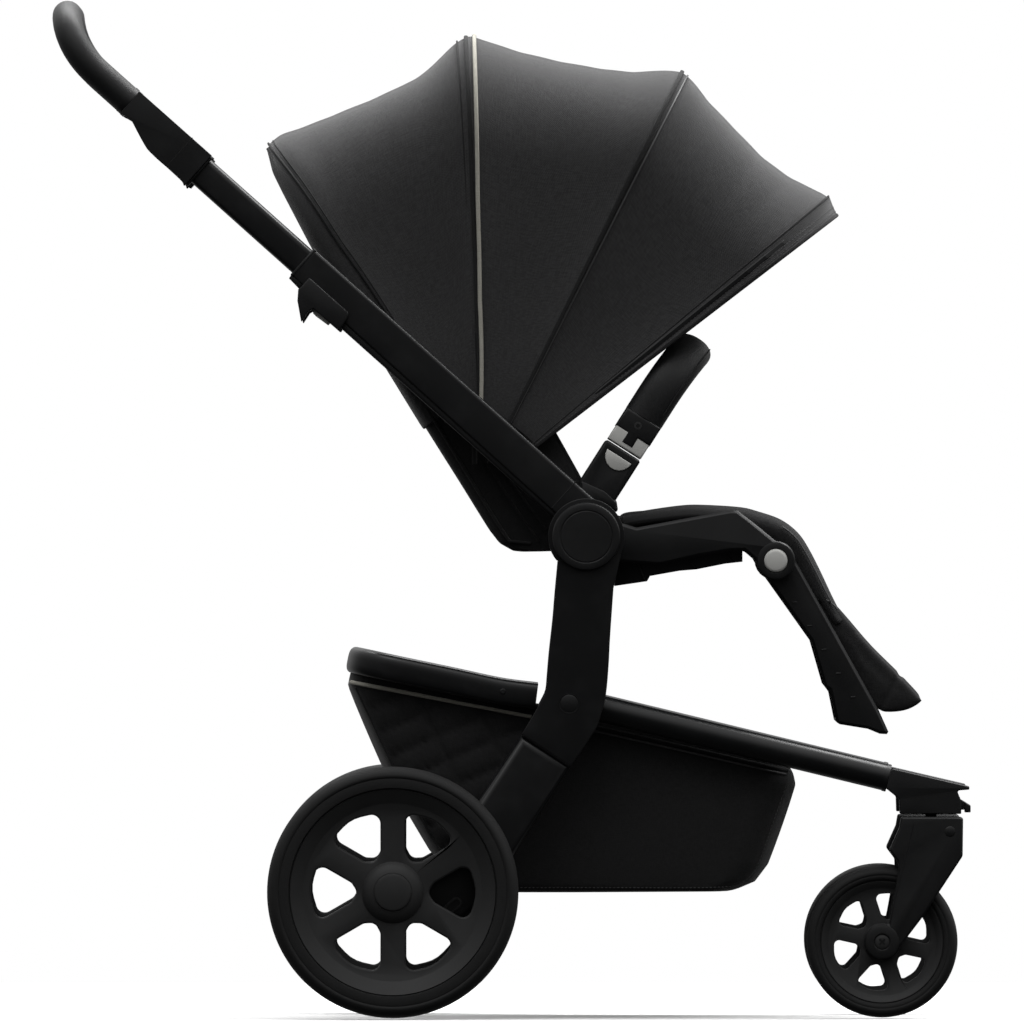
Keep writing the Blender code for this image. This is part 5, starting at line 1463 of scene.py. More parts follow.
def make_knee_cover():
    """Fabric over the front of the seat that bends on to the leg rest."""
    top = [(0.1134, 0.5255), (0.1290, 0.5285), (0.1449, 0.5308), (0.1764, 0.5344), (0.1974, 0.5350),
           (0.2394, 0.5322), (0.2572, 0.5280), (0.2814, 0.5196), (0.2992, 0.5060), (0.3108, 0.4888),
           (0.3234, 0.4650), (0.3339, 0.4440), (0.3440, 0.4260), (0.3500, 0.4185)]
    line = evened(curve(top, 80), 64)
    rows = []
    for k, spot in enumerate(line):
        ahead = (line[min(k + 1, 64)] - line[max(k - 1, 0)]).normalized()
        down = Vector((ahead.y, -ahead.x))
        share = k / 64
        fall = 0.013 + 0.010 * bulge(clamped((share - 0.45) / 0.45))
        half = RAIL_OUT - 0.0235 - 0.006 * clamped((share - 0.55) / 0.2)
        section = [(half - 0.002, fall), (half + 0.0005, fall * 0.6), (half, 0.007), (half - 0.003, 0.0024),
                   (half - 0.009, 0.0003)]
        section += [(half * (1 - i / 8),
                     -0.004 * bulge(1 - i / 8 * 0.5, 0.7) * bulge(share)) for i in range(1, 8)]
        ring = [(y, t) for y, t in section] + [(0.0, -0.004 * bulge(share))]
        ring += [(-y, t) for y, t in reversed(section)]
        rows.append([Vector((spot.x + down.x * t, y, spot.y + down.y * t)) for y, t in ring])
    cover = sheet_of(rows, 0.0030)
    start, end = (KNEE[0], 0, KNEE[1] + 0.050), (KNEE[0] + 0.062, 0, KNEE[1] - 0.010)
    made = piece("knee_cover", cover, finish("seat_cloth"), ("seat", "legrest", start, end), "seat_fabric",
                 crease=0, subdivide=1)
    wide = length_of(rows[20])
    length_of(line)
    edge = [Vector((row[3].x, row[3].y + 0.0022, row[3].z)) for row in rows[38:60]]
    for side, s in SIDES:
        path = [Vector((p.x, s * p.y, p.z)) for p in edge]
        piece(f"knee_edge_{side}", hose(path, 0.0020, (0, 1, 0.1), 8), finish("thread"),
              ("seat", "legrest", start, end), "seat_fabric")


def make_calf_pad():
    """Wedge-shaped pad on the leg rest, with a sewn rim line and a channel across its lower end."""
    half = PAD_HALF - 0.006
    top = curve([(0.3190, 0.4400), (0.3339, 0.4372), (0.3490, 0.4218), (0.3759, 0.3905), (0.4074, 0.3592),
                 (0.4320, 0.3330)], 24)
    low = curve([(0.4300, 0.3312), (0.4179, 0.3246), (0.4022, 0.3216), (0.3880, 0.3216)], 8)
    inner = [Vector((0.3800, 0.3270)), Vector((0.3410, 0.3930)), Vector((0.3215, 0.4260))]
    bm = inflated(solid(top + low + inner, -half + 0.001, half - 0.001, 0.0022, 2), 0.0034, 0.0014)

    def channel(p):
        return (groove(abs(p.y) - (half - 0.022), 0.005, 0.003)
                + groove(off_line((p.x, p.z), (0.4060, 0.3560), (0.3900, 0.3300)), 0.004, 0.0015))
    pad = piece("calf_pad_finished", boxed_map(pressed(bm, channel)), finish("seat_cloth"), "legrest",
                "seat_fabric", "calf_pad", crease=0, subdivide=1)
    rim = [Vector((p.x - 0.0006, half - 0.0004, p.y - 0.0004)) for p in top[1:9]]
    both("calf_rim_{}", hose(rim, 0.0018, (0, 1, 0.1), 8), finish("thread"), "legrest", "seat_fabric")


def back_spot(s, t, y):
    """Point up along the seat back's rear line, forwards from it, and across."""
    x, z = along(BACK_FOOT, BACK_ANGLE, [(s, t)])[0]
    return Vector((x, y, z))


def back_half(s, margin=0.0):
    """Half width of the seat back, which rounds off at its top."""
    over = max(0.0, s - (BACK_LENGTH + 0.010 - 0.095))
    return 0.066 + sqrt(max(0.095 ** 2 - over * over, 0.0004)) - margin


BACK_SHAPE = [(-0.0180, -0.0440, 0.062, 0.018), (-0.0120, -0.0360, 0.080, 0.010),
              (0.002, -0.008, 0.099, 0.002),
              (0.020, 0.014, 0.107, 0.0), (0.080, 0.080, 0.109, 0.0), (0.165, 0.165, 0.107, -0.001),
              (0.250, 0.250, 0.090, -0.002), (0.367, 0.367, 0.060, -0.003), (0.410, 0.410, 0.044, -0.002),
              (0.440, 0.440, 0.034, 0.000), (0.462, 0.462, 0.026, 0.002), (0.472, 0.472, 0.022, 0.005)]


def back_row(share):
    """Rear place, front place, depth and rear line of the seat back at a share of its rows."""
    place = share * (len(BACK_SHAPE) - 1)
    i = min(int(place), len(BACK_SHAPE) - 2)
    a, b = BACK_SHAPE[i], BACK_SHAPE[i + 1]
    t = place - i
    return [p + (q - p) * t for p, q in zip(a, b)]


def make_backrest():
    """Bucket of the seat back with rounded wings, its piping and gusset seams."""
    sewing = bpy.context.scene.stroller_sewing
    wall, soft, rows = 0.008, 0.016, []
    for k in range(57):
        rear, front, deep, low = back_row(k / 56)
        half = back_half(rear) + 0.0012
        fat = 0.0014 * sin(pi * clamped(rear / 0.4))
        outside = [(half, deep), (half + 0.0008, deep * 0.75), (half + fat, deep * 0.5),
                   (half, max(soft, deep * 0.25))]
        outside += [(half - soft + soft * cos(radians(a)),
                     soft - soft * sin(radians(a))) for a in (18, 36, 54, 72, 90)]
        outside += [(half * 0.5, -fat), (0.0, -1.4 * fat)]
        inner = half - wall
        inside = [(0.0, wall), (inner * 0.5, wall), (inner - soft * 0.6, wall),
                  (inner - 0.002, wall + soft * 0.4),
                  (inner, wall + soft), (inner, deep * 0.6), (inner, deep), (half - wall / 2, deep + 0.003)]
        left = [(y, t) for y, t in reversed(inside[1:])]
        section = outside + [(-y, t) for y, t in reversed(outside[:-1])]
        section += [(-y, t) for y, t in left] + [inside[0]] + inside[1:]
        ring = []
        for y, t in section:
            spot = back_spot(rear + (front - rear) * max(0, t) / deep, t + low * (1 - t / deep), y)
            ring.append(spot)
        rows.append(ring)
    shell = skin(rows, closed=True, caps=True)
    made = piece("backrest_finished", shell, finish("seat_cloth"), "backrest", "seat_fabric",
                 "backrest_shell", crease=0, subdivide=1)

    def side_line(stops, out=0.0, count=40):
        """Path on the outer side of the seat back."""
        return [back_spot(p.x, p.y, back_half(p.x) + 0.0016 + out) for p in evened(curve(stops, 60), count)]
    welt = side_line([(-0.0150, 0.0300), (-0.0040, 0.0165), (0.0080, 0.0115), (0.120, 0.0100),
                      (0.300, 0.0085), (0.400, 0.0100), (0.440, 0.0120), (0.4640, 0.0150)])
    both("back_piping_{}", hose(welt, sewing.piping * 0.75, (0, 0.1, 1), 10), finish("seam_cloth"),
         "backrest", "seat_fabric")
    for k, stops in enumerate((((0.0901, 0.0334), (0.0330, 0.0350), (-0.0180, 0.0382)),
                               ((0.0676, 0.0444), (0.0270, 0.0478), (-0.0110, 0.0517)))):
        both(f"back_gusset_{k + 1}_" + "{}", hose(side_line(stops, 0.0004, 16), sewing.seam, (0, 0.1, 1), 8),
             finish("seam_cloth"), "backrest", "seat_fabric")
    edge = []
    for k in range(3, 52):
        rear, front, deep, low = back_row(k / 56)
        edge.append(back_spot(front, deep + 0.0022, back_half(rear) - 0.0024))
    both("wing_binding_{}", hose(edge, sewing.piping * 0.9, (0, 1, 0.1), 10), finish("seam_cloth"),
         "backrest", "seat_fabric")


def make_back_pad():
    """Pad inside the seat back, swollen, with channels across and down it."""
    rows = []
    for s, low, high in ((0.030, 0.0195, 0.036), (0.040, 0.0135, 0.041), (0.120, 0.0115, 0.042),
                         (BACK_LENGTH - 0.090, 0.0115, 0.033), (BACK_LENGTH - 0.055, 0.0115, 0.029),
                         (BACK_LENGTH - 0.034, 0.0120, 0.024), (BACK_LENGTH - 0.024, 0.0135, 0.019)):
        half = back_half(s + 0.010, 0.014)
        section = [(half, (low + high) / 2), (half - 0.010, high), (0, high), (-half + 0.010, high),
                   (-half, (low + high) / 2), (-half + 0.010, low), (0, low), (half - 0.010, low)]
        rows.append([back_spot(s, t, y) for y, t in section])
    ahead = Vector((cos(radians(BACK_ANGLE)), 0, sin(radians(BACK_ANGLE))))
    forth = Vector((sin(radians(BACK_ANGLE)), 0, -cos(radians(BACK_ANGLE))))
    foot = Vector((BACK_FOOT[0], 0, BACK_FOOT[1]))

    def fence(p):
        t = (p - foot).dot(forth)
        return p + forth * max(0.0, 0.0105 - t) - forth * max(0.0, t - 0.047)
    bm = inflated(skin(rows, closed=True, caps=True), 0.006, 0.0070, fence=fence)

    def channel(p):
        s, t = (p - foot).dot(ahead), (p - foot).dot(forth)
        if t < 0.026:
            return 0.0
        depth = max(groove(abs(p.y) - 0.086, 0.007, 0.005), groove(s - 0.170, 0.007, 0.005),
                    groove(s - 0.300, 0.007, 0.005))
        return depth
    pad = piece("back_pad_finished", boxed_map(pressed(bm, channel)), finish("seat_cloth"), "backrest",
                "seat_fabric", "back_pad", crease=0, subdivide=1)


# ------------------------------------------------------------------ canopy
CANOPY_REACH = [(37.0, 0.4770), (38.3, 0.4785), (40.0, 0.4834), (41.6, 0.4772), (45.2, 0.4662),
                (49.5, 0.4625),
                (54.3, 0.4680), (59.1, 0.4770), (62.2, 0.4885), (63.8, 0.4915), (65.4, 0.4870),
                (69.4, 0.4706),
                (73.5, 0.4632), (78.8, 0.4602), (84.2, 0.4639), (88.6, 0.4735), (90.6, 0.4790),
                (92.2, 0.4740),
                (93.6, 0.4640), (95.6, 0.4500), (97.8, 0.4388), (100.5, 0.4325), (105.0, 0.4250),
                (111.0, 0.4220), (115.7, 0.4232), (118.4, 0.4270), (120.8, 0.4240)]
CANOPY_SIDE, CANOPY_LOW, CANOPY_CORNER = 0.1795, 0.078, 0.110
CANOPY_SEAMS = (120.6, 90.6, 63.8, 37.4)
SIDE_DIP = (0.013, 0.011, 0.013)


def canopy_section(angle, stops=(14, 14, 8), dip=0.0):
    """Half a cross section of the canopy at an angle: (y, radius) from its low end to its middle."""
    reach = read_off(CANOPY_REACH, angle)
    sides, turns, tops = stops
    half, corner = CANOPY_SIDE, CANOPY_CORNER
    section = [(half, CANOPY_LOW + (reach - corner - CANOPY_LOW) * k / sides) for k in range(sides)]
    section += [(half - corner + corner * cos(radians(90 * k / turns)),
                 reach - corner + corner * sin(radians(90 * k / turns)))
                for k in range(turns)]
    section += [((half - corner) * (1 - k / tops),
                 reach + 0.003 * bulge(k / tops * 0.5)) for k in range(tops + 1)]
    made = []
    for y, r in section:
        share = clamped((r - CANOPY_LOW) / 0.16)
        inward = dip * share * share * (3 - 2 * share) * min(1.0, y / half) ** 2
        made.append((y - inward, r))
    return made


def canopy_point(angle, y, radius, lift=0.0):
    """Point of the canopy at an angle round its pivot."""
    x, z = polar(CANOPY, radius + lift * (1 - abs(y) / (CANOPY_SIDE + 1e-6)), angle)
    return Vector((x, y + (lift if y > 0 else -lift) * min(1.0, abs(y) / CANOPY_SIDE), z))


def canopy_dip(angle):
    """How far the canopy's side draws in at an angle."""
    for k in range(3):
        a, b = CANOPY_SEAMS[k], CANOPY_SEAMS[k + 1]
        if b <= angle <= a:
            return SIDE_DIP[k] * bulge((a - angle) / (a - b), 0.85)
    return 0.0


def rear_lean(radius):
    """Angle of the rear seam at a distance from the pivot."""
    return read_off([(0.078, 112.0), (0.150, 114.2), (0.229, 116.7), (0.299, 118.7), (0.3675, 119.6),
                     (0.4216, 120.6)],
                    radius)


def canopy_ring(angle, lift=0.0, lean=0.0):
    """Full ring of the canopy from its left low end to its right one; lean draws it on to the rear seam."""
    ring = []
    for y, r in canopy_section(angle, dip=canopy_dip(angle)):
        turned = angle + (rear_lean(r) - CANOPY_SEAMS[0]) * lean
        ring.append(canopy_point(turned, y, r, lift))
    return across_path(ring)


def make_canopy():
    """Hoops, the three cloth panels between them, and the seams, piping and front band."""
    cloth, coat = finish("canopy_cloth"), finish("satin_coat")
    sewing = bpy.context.scene.stroller_sewing
    carry_over(coat, "canopy_rear_hoop", "canopy_middle_hoop", "canopy_front_hoop")
    bodies = ("backrest", "canopy_rear", "canopy_middle", "canopy_front")
    names = ("rear", "middle", "front")
    for k in range(3):
        a, b = CANOPY_SEAMS[k], CANOPY_SEAMS[k + 1]
        rows = []
        for j in range(29):
            v = j / 28
            rows.append(canopy_ring(a + (b - a) * v, lean=(1 - v) ** 1.5 if k == 0 else 0.0))
        start, end = (polar(CANOPY, 0.33, HOOP_ANGLES[k]), polar(CANOPY, 0.33, HOOP_ANGLES[k + 1]))
        panel = piece(f"canopy_{names[k]}_cloth", sheet_of(rows, 0.0015), cloth,
                      (bodies[k], bodies[k + 1], (start.x, 0, start.y), (end.x, 0, end.y)), "canopy_fabric",
                      f"canopy_panel_{names[k]}", crease=0, subdivide=1)
        wide = length_of(rows[14])
        long = max(length_of([row[i] for row in rows]) for i in range(len(rows[0])))
        area = area_of(rows)
        max(long, area / wide)

    def rib(name, angle, thick, material, body, lift, bowed=False, wide=None, slot="canopy_fabric"):
        """Cord or tape over the canopy at an angle."""
        ring = canopy_ring(angle, lift)
        if bowed:
            for p in ring:
                gap = Vector((p.x, p.z)) - CANOPY
                back = read_off([(0.078, 4.4), (0.105, 3.8), (0.200, 1.6), (0.300, 0.7), (0.477, 0.0)],
                                gap.length)
                p.x, p.z = polar(CANOPY, gap.length, degrees(atan2(gap.y, gap.x)) - back)
        normal = polar((0, 0), 1, angle)
        piece(name, hose(ring, thick, (-normal.y, 0, normal.x), 10, wide, 0.8), finish(material), body, slot)
        return ring
    rib("canopy_rear_piping", 90.1, sewing.piping, "piping_cloth", "canopy_rear", 0.0012, True)
    rib("canopy_rear_rib", 91.15, 0.0034, "seam_cloth", "canopy_rear", 0.0006, True, 0.0046)
    rib("canopy_rear_edge", 92.3, sewing.seam * 0.8, "seam_cloth", "canopy_rear", 0.0002, True)
    rib("canopy_middle_rib", 63.8, 0.0034, "seam_cloth", "canopy_middle", 0.0004, wide=0.0046)
    rib("canopy_middle_edge", 63.0, sewing.seam * 0.8, "thread", "canopy_middle", 0.0008)
    for name, place, body in (("canopy_front_edge", 37.5, "canopy_front"),
                              ("canopy_band_edge", 40.0, "canopy_front")):
        rib(name, place, sewing.seam * (1.6 if place < 38 else 0.9), "seam_cloth", body, 0.0)
    sewn = []
    for angle in (38.0, 38.55):
        sewn.append(stitches(canopy_ring(angle, 0.0012), sewing.stitch, 0.0009, 0.0030))
    piece("canopy_band_stitches", merged(sewn), finish("thread"), "canopy_front", "canopy_fabric")
    rows = [canopy_ring(angle, 0.0010) for angle in (37.3, 37.8, 38.6, 39.4, 39.95)]
    band = piece("canopy_band", sheet_of(rows, 0.0012), cloth, "canopy_front", "canopy_fabric", crease=0,
                 subdivide=1)
    length_of(rows[2])
    min(area_of(rows), 0.0209 * length_of(rows[2]))
    rows = []
    for k in range(45):
        r = 0.086 + (0.4243 - 0.086) * sin(pi / 2 * k / 44) ** 0.9
        over = max(0.0, r - (0.4243 - CANOPY_CORNER))
        half = CANOPY_SIDE - CANOPY_CORNER + sqrt(max(0.0, CANOPY_CORNER ** 2 - over * over))
        near = clamped((r - 0.086) / 0.09)
        half = half - (CANOPY_SIDE - back_half(0.2) - 0.0030) * (1 - near * near * (3 - 2 * near))
        seam = canopy_point(rear_lean(r) - 0.6, half - 0.0012, r)
        gap = Vector((seam.x, seam.z)) - BACK_FOOT
        ahead = Vector((cos(radians(BACK_ANGLE)), sin(radians(BACK_ANGLE))))
        s, t = gap.dot(ahead), gap.dot(Vector((ahead.y, -ahead.x)))
        rear = read_off([(0.0, -0.001), (0.213, -0.003), (0.37, -0.005), (0.436, -0.001), (0.460, 0.001),
                         (0.483, 0.008)], s)
        curl = min(1.0, half / CANOPY_SIDE)
        ring = bezier(seam, back_spot(s, rear + (t - rear) * 0.25, half),
                      back_spot(s, rear, half - 0.003 * curl),
                      back_spot(s, rear - 0.001, half - 0.030 * curl), 10)
        ring += [back_spot(s, rear - 0.001 - 0.002 * bulge(1 - i / 12), (half - 0.030 * curl) * (1 - i / 6))
                 for i in range(1, 7)]
        rows.append(across_path(ring))
    hood = piece("canopy_back_cloth", sheet_of(rows, 0.0014), cloth, "backrest", "canopy_fabric", crease=0,
                 subdivide=1)
    area = area_of(rows)
    length_of(rows[0])
    max(0.35, area / length_of(rows[0]))
    for k, shift in enumerate((0.0, -0.75)):
        seam = []
        for y, r in canopy_section(CANOPY_SEAMS[0], dip=0.0):
            seam.append(canopy_point(rear_lean(r) + shift, y, r, 0.0008))
        piece(f"canopy_back_seam_{k + 1}",
              hose(across_path(seam), sewing.seam * (1.0, 0.6)[k], (0, 0.1, 1), 8),
              finish("seam_cloth"), "backrest", "canopy_fabric")


# ------------------------------------------------------------------ harness
def strap(path, wide, normal):
    """Flat webbing along a path."""
    return hose(path, 0.0018, normal, 16, wide, 0.25)


def make_harness():
    """Buckle, crotch and waist straps on the seat, and shoulder straps with pads on the seat back."""
    web, black = finish("webbing"), finish("black_plastic")
    rounded_nodes(black, "plastic_black", 0.0018, ["harness_buckle"], 3, 30)
    low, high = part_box("harness_buckle")
    mid = (low + high) / 2
    crotch = curve([(mid.x + 0.042, 0.5190), (mid.x + 0.026, 0.5235), (mid.x + 0.010, 0.5275),
                    (mid.x + 0.001, 0.5300)], 16)
    piece("crotch_strap", strap(side_path(crotch, 0), 0.025, (0, 1, 0)), web, "seat", "seat_fabric")
    for side, s in SIDES:
        waist = [Vector((mid.x - 0.002 - 0.010 * t, s * (0.020 + 0.130 * t),
                         mid.z + 0.002 - 0.004 * sin(pi * t)))
                 for t in (k / 16 for k in range(17))]
        piece(f"waist_strap_{side}", strap(waist, 0.025, (1, 0, 0.3)), web, "seat", "seat_fabric")
        line = [back_spot(0.070 + 0.260 * t, 0.0520 - 0.006 * t + 0.004 * sin(pi * t),
                          s * (0.052 - 0.010 * t))
                for t in (k / 20 for k in range(21))]
        piece(f"shoulder_strap_{side}", strap(line, 0.025, (0, 1, 0)), web, "backrest", "seat_fabric")
        pad = [back_spot(0.150 + 0.120 * t, 0.0535 - 0.003 * t + 0.004 * sin(pi * (0.3 + 0.46 * t)),
                         s * (0.049 - 0.0046 * t)) for t in (k / 12 for k in range(13))]
        made = piece(f"shoulder_pad_{side}", hose(pad, 0.010, (0, 1, 0), 24, 0.046, 0.7),
                     finish("seat_cloth"), "backrest", "seat_fabric", crease=0, subdivide=1)


# ------------------------------------------------------------------ studio
FLOOR_RADIUS = 3.2
FLOOR_DROP = 0.0012      # floor below the tyres, so that they don't touch it
NEAR_SIDE = -0.2         # plane of the stroller's side where the frame width is measured
SENSOR = 36.0            # camera sensor's width, in millimetres
UP_LIGHT = (("From Min", -0.05), ("From Max", 1.0), ("To Min", 0.04), ("To Max", 1.35))
BACK_LIGHT = (("From Min", 0.1), ("From Max", 1.0), ("To Min", 0.0), ("To Max", 0.30))
SOFTBOXES = (            # name, place, aim, size and watts
    ("softbox_top", (0.75, 0.60, 2.7), (0.55, 0.0, 0.5), (3.6, 1.0), 125),
    ("softbox_key", (-0.5, -1.7, 2.9), (0.05, 0.0, 0.5), (1.5, 1.0), 15),
    ("softbox_edge", (2.4, -0.6, 1.4), (0.05, 0.0, 0.5), (0.9, 1.8), 4))


def make_studio():
    """Pale floor, soft light and a long-lens camera square to the stroller's right side."""
    scene = bpy.context.scene
    studio = scene.stroller_studio
    bm = bmesh.new()
    bmesh.ops.create_circle(bm, cap_ends=True, segments=studio.sides, radius=FLOOR_RADIUS)
    bmesh.ops.translate(bm, verts=bm.verts, vec=(0.06, 0, -FLOOR_DROP))
    mesh = bpy.data.meshes.new("floor")
    bm.to_mesh(mesh)
    bm.free()
    mesh.materials.append(finish("studio_floor"))
    floor = bpy.data.objects.new("floor", mesh)
    scene.collection.objects.link(floor)
    floor.visible_diffuse = floor.visible_glossy = False

    world = bpy.data.worlds.new("studio")
    scene.world = world
    world.use_nodes = True
    tree = world.node_tree
    tree.nodes.clear()
    seen = tree.nodes.new("ShaderNodeBackground")
    seen.inputs["Color"].default_value = (1, 1, 1, 1)
    seen.inputs["Strength"].default_value = 1.0
    around = tree.nodes.new("ShaderNodeBackground")
    around.inputs["Color"].default_value = (1, 1, 1, 1)
    where = tree.nodes.new("ShaderNodeTexCoord")
    parts = tree.nodes.new("ShaderNodeSeparateXYZ")
    up = tree.nodes.new("ShaderNodeMapRange")
    back = tree.nodes.new("ShaderNodeMapRange")
    for node, stops in ((up, UP_LIGHT), (back, BACK_LIGHT)):
        node.interpolation_type = "SMOOTHSTEP"
        for name, value in stops:
            node.inputs[name].default_value = value
    total = tree.nodes.new("ShaderNodeMath")
    total.operation = "ADD"
    power = tree.nodes.new("ShaderNodeMath")
    power.operation = "MULTIPLY"
    power.inputs[1].default_value = studio.brightness
    ray = tree.nodes.new("ShaderNodeLightPath")
    pick = tree.nodes.new("ShaderNodeMixShader")
    out = tree.nodes.new("ShaderNodeOutputWorld")
    for source, target in (
            (where.outputs["Generated"], parts.inputs[0]),
            (parts.outputs["Z"], up.inputs["Value"]),
            (parts.outputs["Y"], back.inputs["Value"]),
            (up.outputs[0], total.inputs[0]),
            (back.outputs[0], total.inputs[1]),
            (total.outputs[0], power.inputs[0]),
            (power.outputs[0], around.inputs["Strength"]),
            (ray.outputs["Is Camera Ray"], pick.inputs[0]),
            (around.outputs[0], pick.inputs[1]),
            (seen.outputs[0], pick.inputs[2]),
            (pick.outputs[0], out.inputs["Surface"])):
        tree.links.new(source, target)

    for name, spot, aim, size, watts in SOFTBOXES:
        lamp = bpy.data.lights.new(name, "AREA")
        lamp.shape, lamp.size, lamp.size_y = "RECTANGLE", *size
        lamp.energy = watts * studio.brightness
        placed = bpy.data.objects.new(name, lamp)
        placed.location = spot
        placed.rotation_euler = (Vector(aim) - Vector(spot)).to_track_quat("-Z", "Y").to_euler()
        scene.collection.objects.link(placed)

    lens = bpy.data.cameras.new("camera")
    lens.sensor_width = SENSOR
    lens.lens = SENSOR * studio.distance / studio.width
    lens.clip_end = 300.0
    lens.clip_start = 1.0
    camera = bpy.data.objects.new("camera", lens)
    camera.location = (0.0, NEAR_SIDE - studio.distance, studio.height)
    camera.rotation_euler = (radians(90), 0, 0)
    scene.collection.objects.link(camera)
    scene.camera = camera
    scene.view_settings.view_transform = "Standard"


# ------------------------------------------------------------------ operators
class STROLLER_OT_uprights(bpy.types.Operator):
    """Build the flat-oval uprights and the legs below them"""
    bl_idname = "stroller.uprights"
    bl_label = "Uprights and legs"
    bl_options = {"REGISTER", "UNDO"}

    def execute(self, context):
        make_uprights()
        return {"FINISHED"}


class STROLLER_OT_hub_caps(bpy.types.Operator):
    """Build the covers and pins of the main hubs and elbows"""
    bl_idname = "stroller.hub_caps"
    bl_label = "Hub caps"
    bl_options = {"REGISTER", "UNDO"}

    def execute(self, context):
        make_hub_caps()
        return {"FINISHED"}


class STROLLER_OT_axle_lock(bpy.types.Operator):
    """Build the wheel release slots and finish the rear axle"""
    bl_idname = "stroller.axle_lock"
    bl_label = "Axle and locks"
    bl_options = {"REGISTER", "UNDO"}

    def execute(self, context):
        make_axle_lock()
        return {"FINISHED"}


class STROLLER_OT_brake(bpy.types.Operator):
    """Build the brake pedal and its tread"""
    bl_idname = "stroller.brake"
    bl_label = "Brake pedal"
    bl_options = {"REGISTER", "UNDO"}

    def execute(self, context):
        make_brake()
        return {"FINISHED"}


class STROLLER_OT_rear_wheels(bpy.types.Operator):
    """Build the rear tyres, rims and hubs"""
    bl_idname = "stroller.rear_wheels"
    bl_label = "Rear wheels"
    bl_options = {"REGISTER", "UNDO"}

    def execute(self, context):
        make_rear_wheels()
        return {"FINISHED"}


class STROLLER_OT_front_wheels(bpy.types.Operator):
    """Build the front tyres, rims and hubs"""
    bl_idname = "stroller.front_wheels"
    bl_label = "Front wheels"
    bl_options = {"REGISTER", "UNDO"}

    def execute(self, context):
        make_front_wheels()
        return {"FINISHED"}


class STROLLER_OT_casters(bpy.types.Operator):
    """Build the forks, brackets, swivel locks and axle screws"""
    bl_idname = "stroller.casters"
    bl_label = "Casters"
    bl_options = {"REGISTER", "UNDO"}

    def execute(self, context):
        make_casters()
        return {"FINISHED"}


class STROLLER_OT_front_tubes(bpy.types.Operator):
    """Build the round front tubes and the bar between them"""
    bl_idname = "stroller.front_tubes"
    bl_label = "Front tubes"
    bl_options = {"REGISTER", "UNDO"}

    def execute(self, context):
        make_front_tubes()
        return {"FINISHED"}


class STROLLER_OT_basket(bpy.types.Operator):
    """Build the basket's rim bar, quilted tub, zip and piping"""
    bl_idname = "stroller.basket"
    bl_label = "Basket"
    bl_options = {"REGISTER", "UNDO"}

    def execute(self, context):
        make_basket()
        return {"FINISHED"}


class STROLLER_OT_pushbar(bpy.types.Operator):
    """Build the outer tubes of the pushbar"""
    bl_idname = "stroller.pushbar"
    bl_label = "Pushbar"
    bl_options = {"REGISTER", "UNDO"}

    def execute(self, context):
        make_pushbar()
        return {"FINISHED"}


class STROLLER_OT_triggers(bpy.types.Operator):
    """Build the fold triggers and their latches"""
    bl_idname = "stroller.triggers"
    bl_label = "Fold triggers"
    bl_options = {"REGISTER", "UNDO"}

    def execute(self, context):
        make_triggers()
        return {"FINISHED"}


class STROLLER_OT_handle(bpy.types.Operator):
    """Build the sliding tubes, housings, height buttons and leather grip"""
    bl_idname = "stroller.handle"
    bl_label = "Handle"
    bl_options = {"REGISTER", "UNDO"}

    def execute(self, context):
        make_handle()
        return {"FINISHED"}


class STROLLER_OT_seat_frame(bpy.types.Operator):
    """Build the seat's side rails and pan, with the knee bezels and buttons"""
    bl_idname = "stroller.seat_frame"
    bl_label = "Seat frame"
    bl_options = {"REGISTER", "UNDO"}

    def execute(self, context):
        make_seat_frame()
        return {"FINISHED"}


class STROLLER_OT_seat_pad(bpy.types.Operator):
    """Sew and fill the seat pad"""
    bl_idname = "stroller.seat_pad"
    bl_label = "Seat pad"
    bl_options = {"REGISTER", "UNDO"}

    def execute(self, context):
        make_seat_pad()
        return {"FINISHED"}


class STROLLER_OT_knee_cover(bpy.types.Operator):
    """Sew the fabric that bends from the seat on to the leg rest"""
    bl_idname = "stroller.knee_cover"
    bl_label = "Knee cover"
    bl_options = {"REGISTER", "UNDO"}

    def execute(self, context):
        make_knee_cover()
        return {"FINISHED"}


class STROLLER_OT_legrest(bpy.types.Operator):
    """Build the leg rest tray"""
    bl_idname = "stroller.legrest"
    bl_label = "Leg rest"
    bl_options = {"REGISTER", "UNDO"}

    def execute(self, context):
        make_legrest()
        return {"FINISHED"}


class STROLLER_OT_calf_pad(bpy.types.Operator):
    """Sew and fill the pad of the leg rest"""
    bl_idname = "stroller.calf_pad"
    bl_label = "Calf pad"
    bl_options = {"REGISTER", "UNDO"}

    def execute(self, context):
        make_calf_pad()
        return {"FINISHED"}


class STROLLER_OT_backrest(bpy.types.Operator):
    """Sew the bucket of the seat back"""
    bl_idname = "stroller.backrest"
    bl_label = "Seat back"
    bl_options = {"REGISTER", "UNDO"}

    def execute(self, context):
        make_backrest()
        return {"FINISHED"}


class STROLLER_OT_back_pad(bpy.types.Operator):
    """Sew and fill the pad of the seat back"""
    bl_idname = "stroller.back_pad"
    bl_label = "Back pad"
    bl_options = {"REGISTER", "UNDO"}

    def execute(self, context):
        make_back_pad()
        return {"FINISHED"}


class STROLLER_OT_canopy(bpy.types.Operator):
    """Stretch the canopy's panels over its hoops"""
    bl_idname = "stroller.canopy"
    bl_label = "Canopy"
    bl_options = {"REGISTER", "UNDO"}

    def execute(self, context):
        make_canopy()
        return {"FINISHED"}


class STROLLER_OT_bumper(bpy.types.Operator):
    """Build the leather bumper bar, its sockets and buttons"""
    bl_idname = "stroller.bumper"
    bl_label = "Bumper bar"
    bl_options = {"REGISTER", "UNDO"}

    def execute(self, context):
        make_bumper()
        return {"FINISHED"}


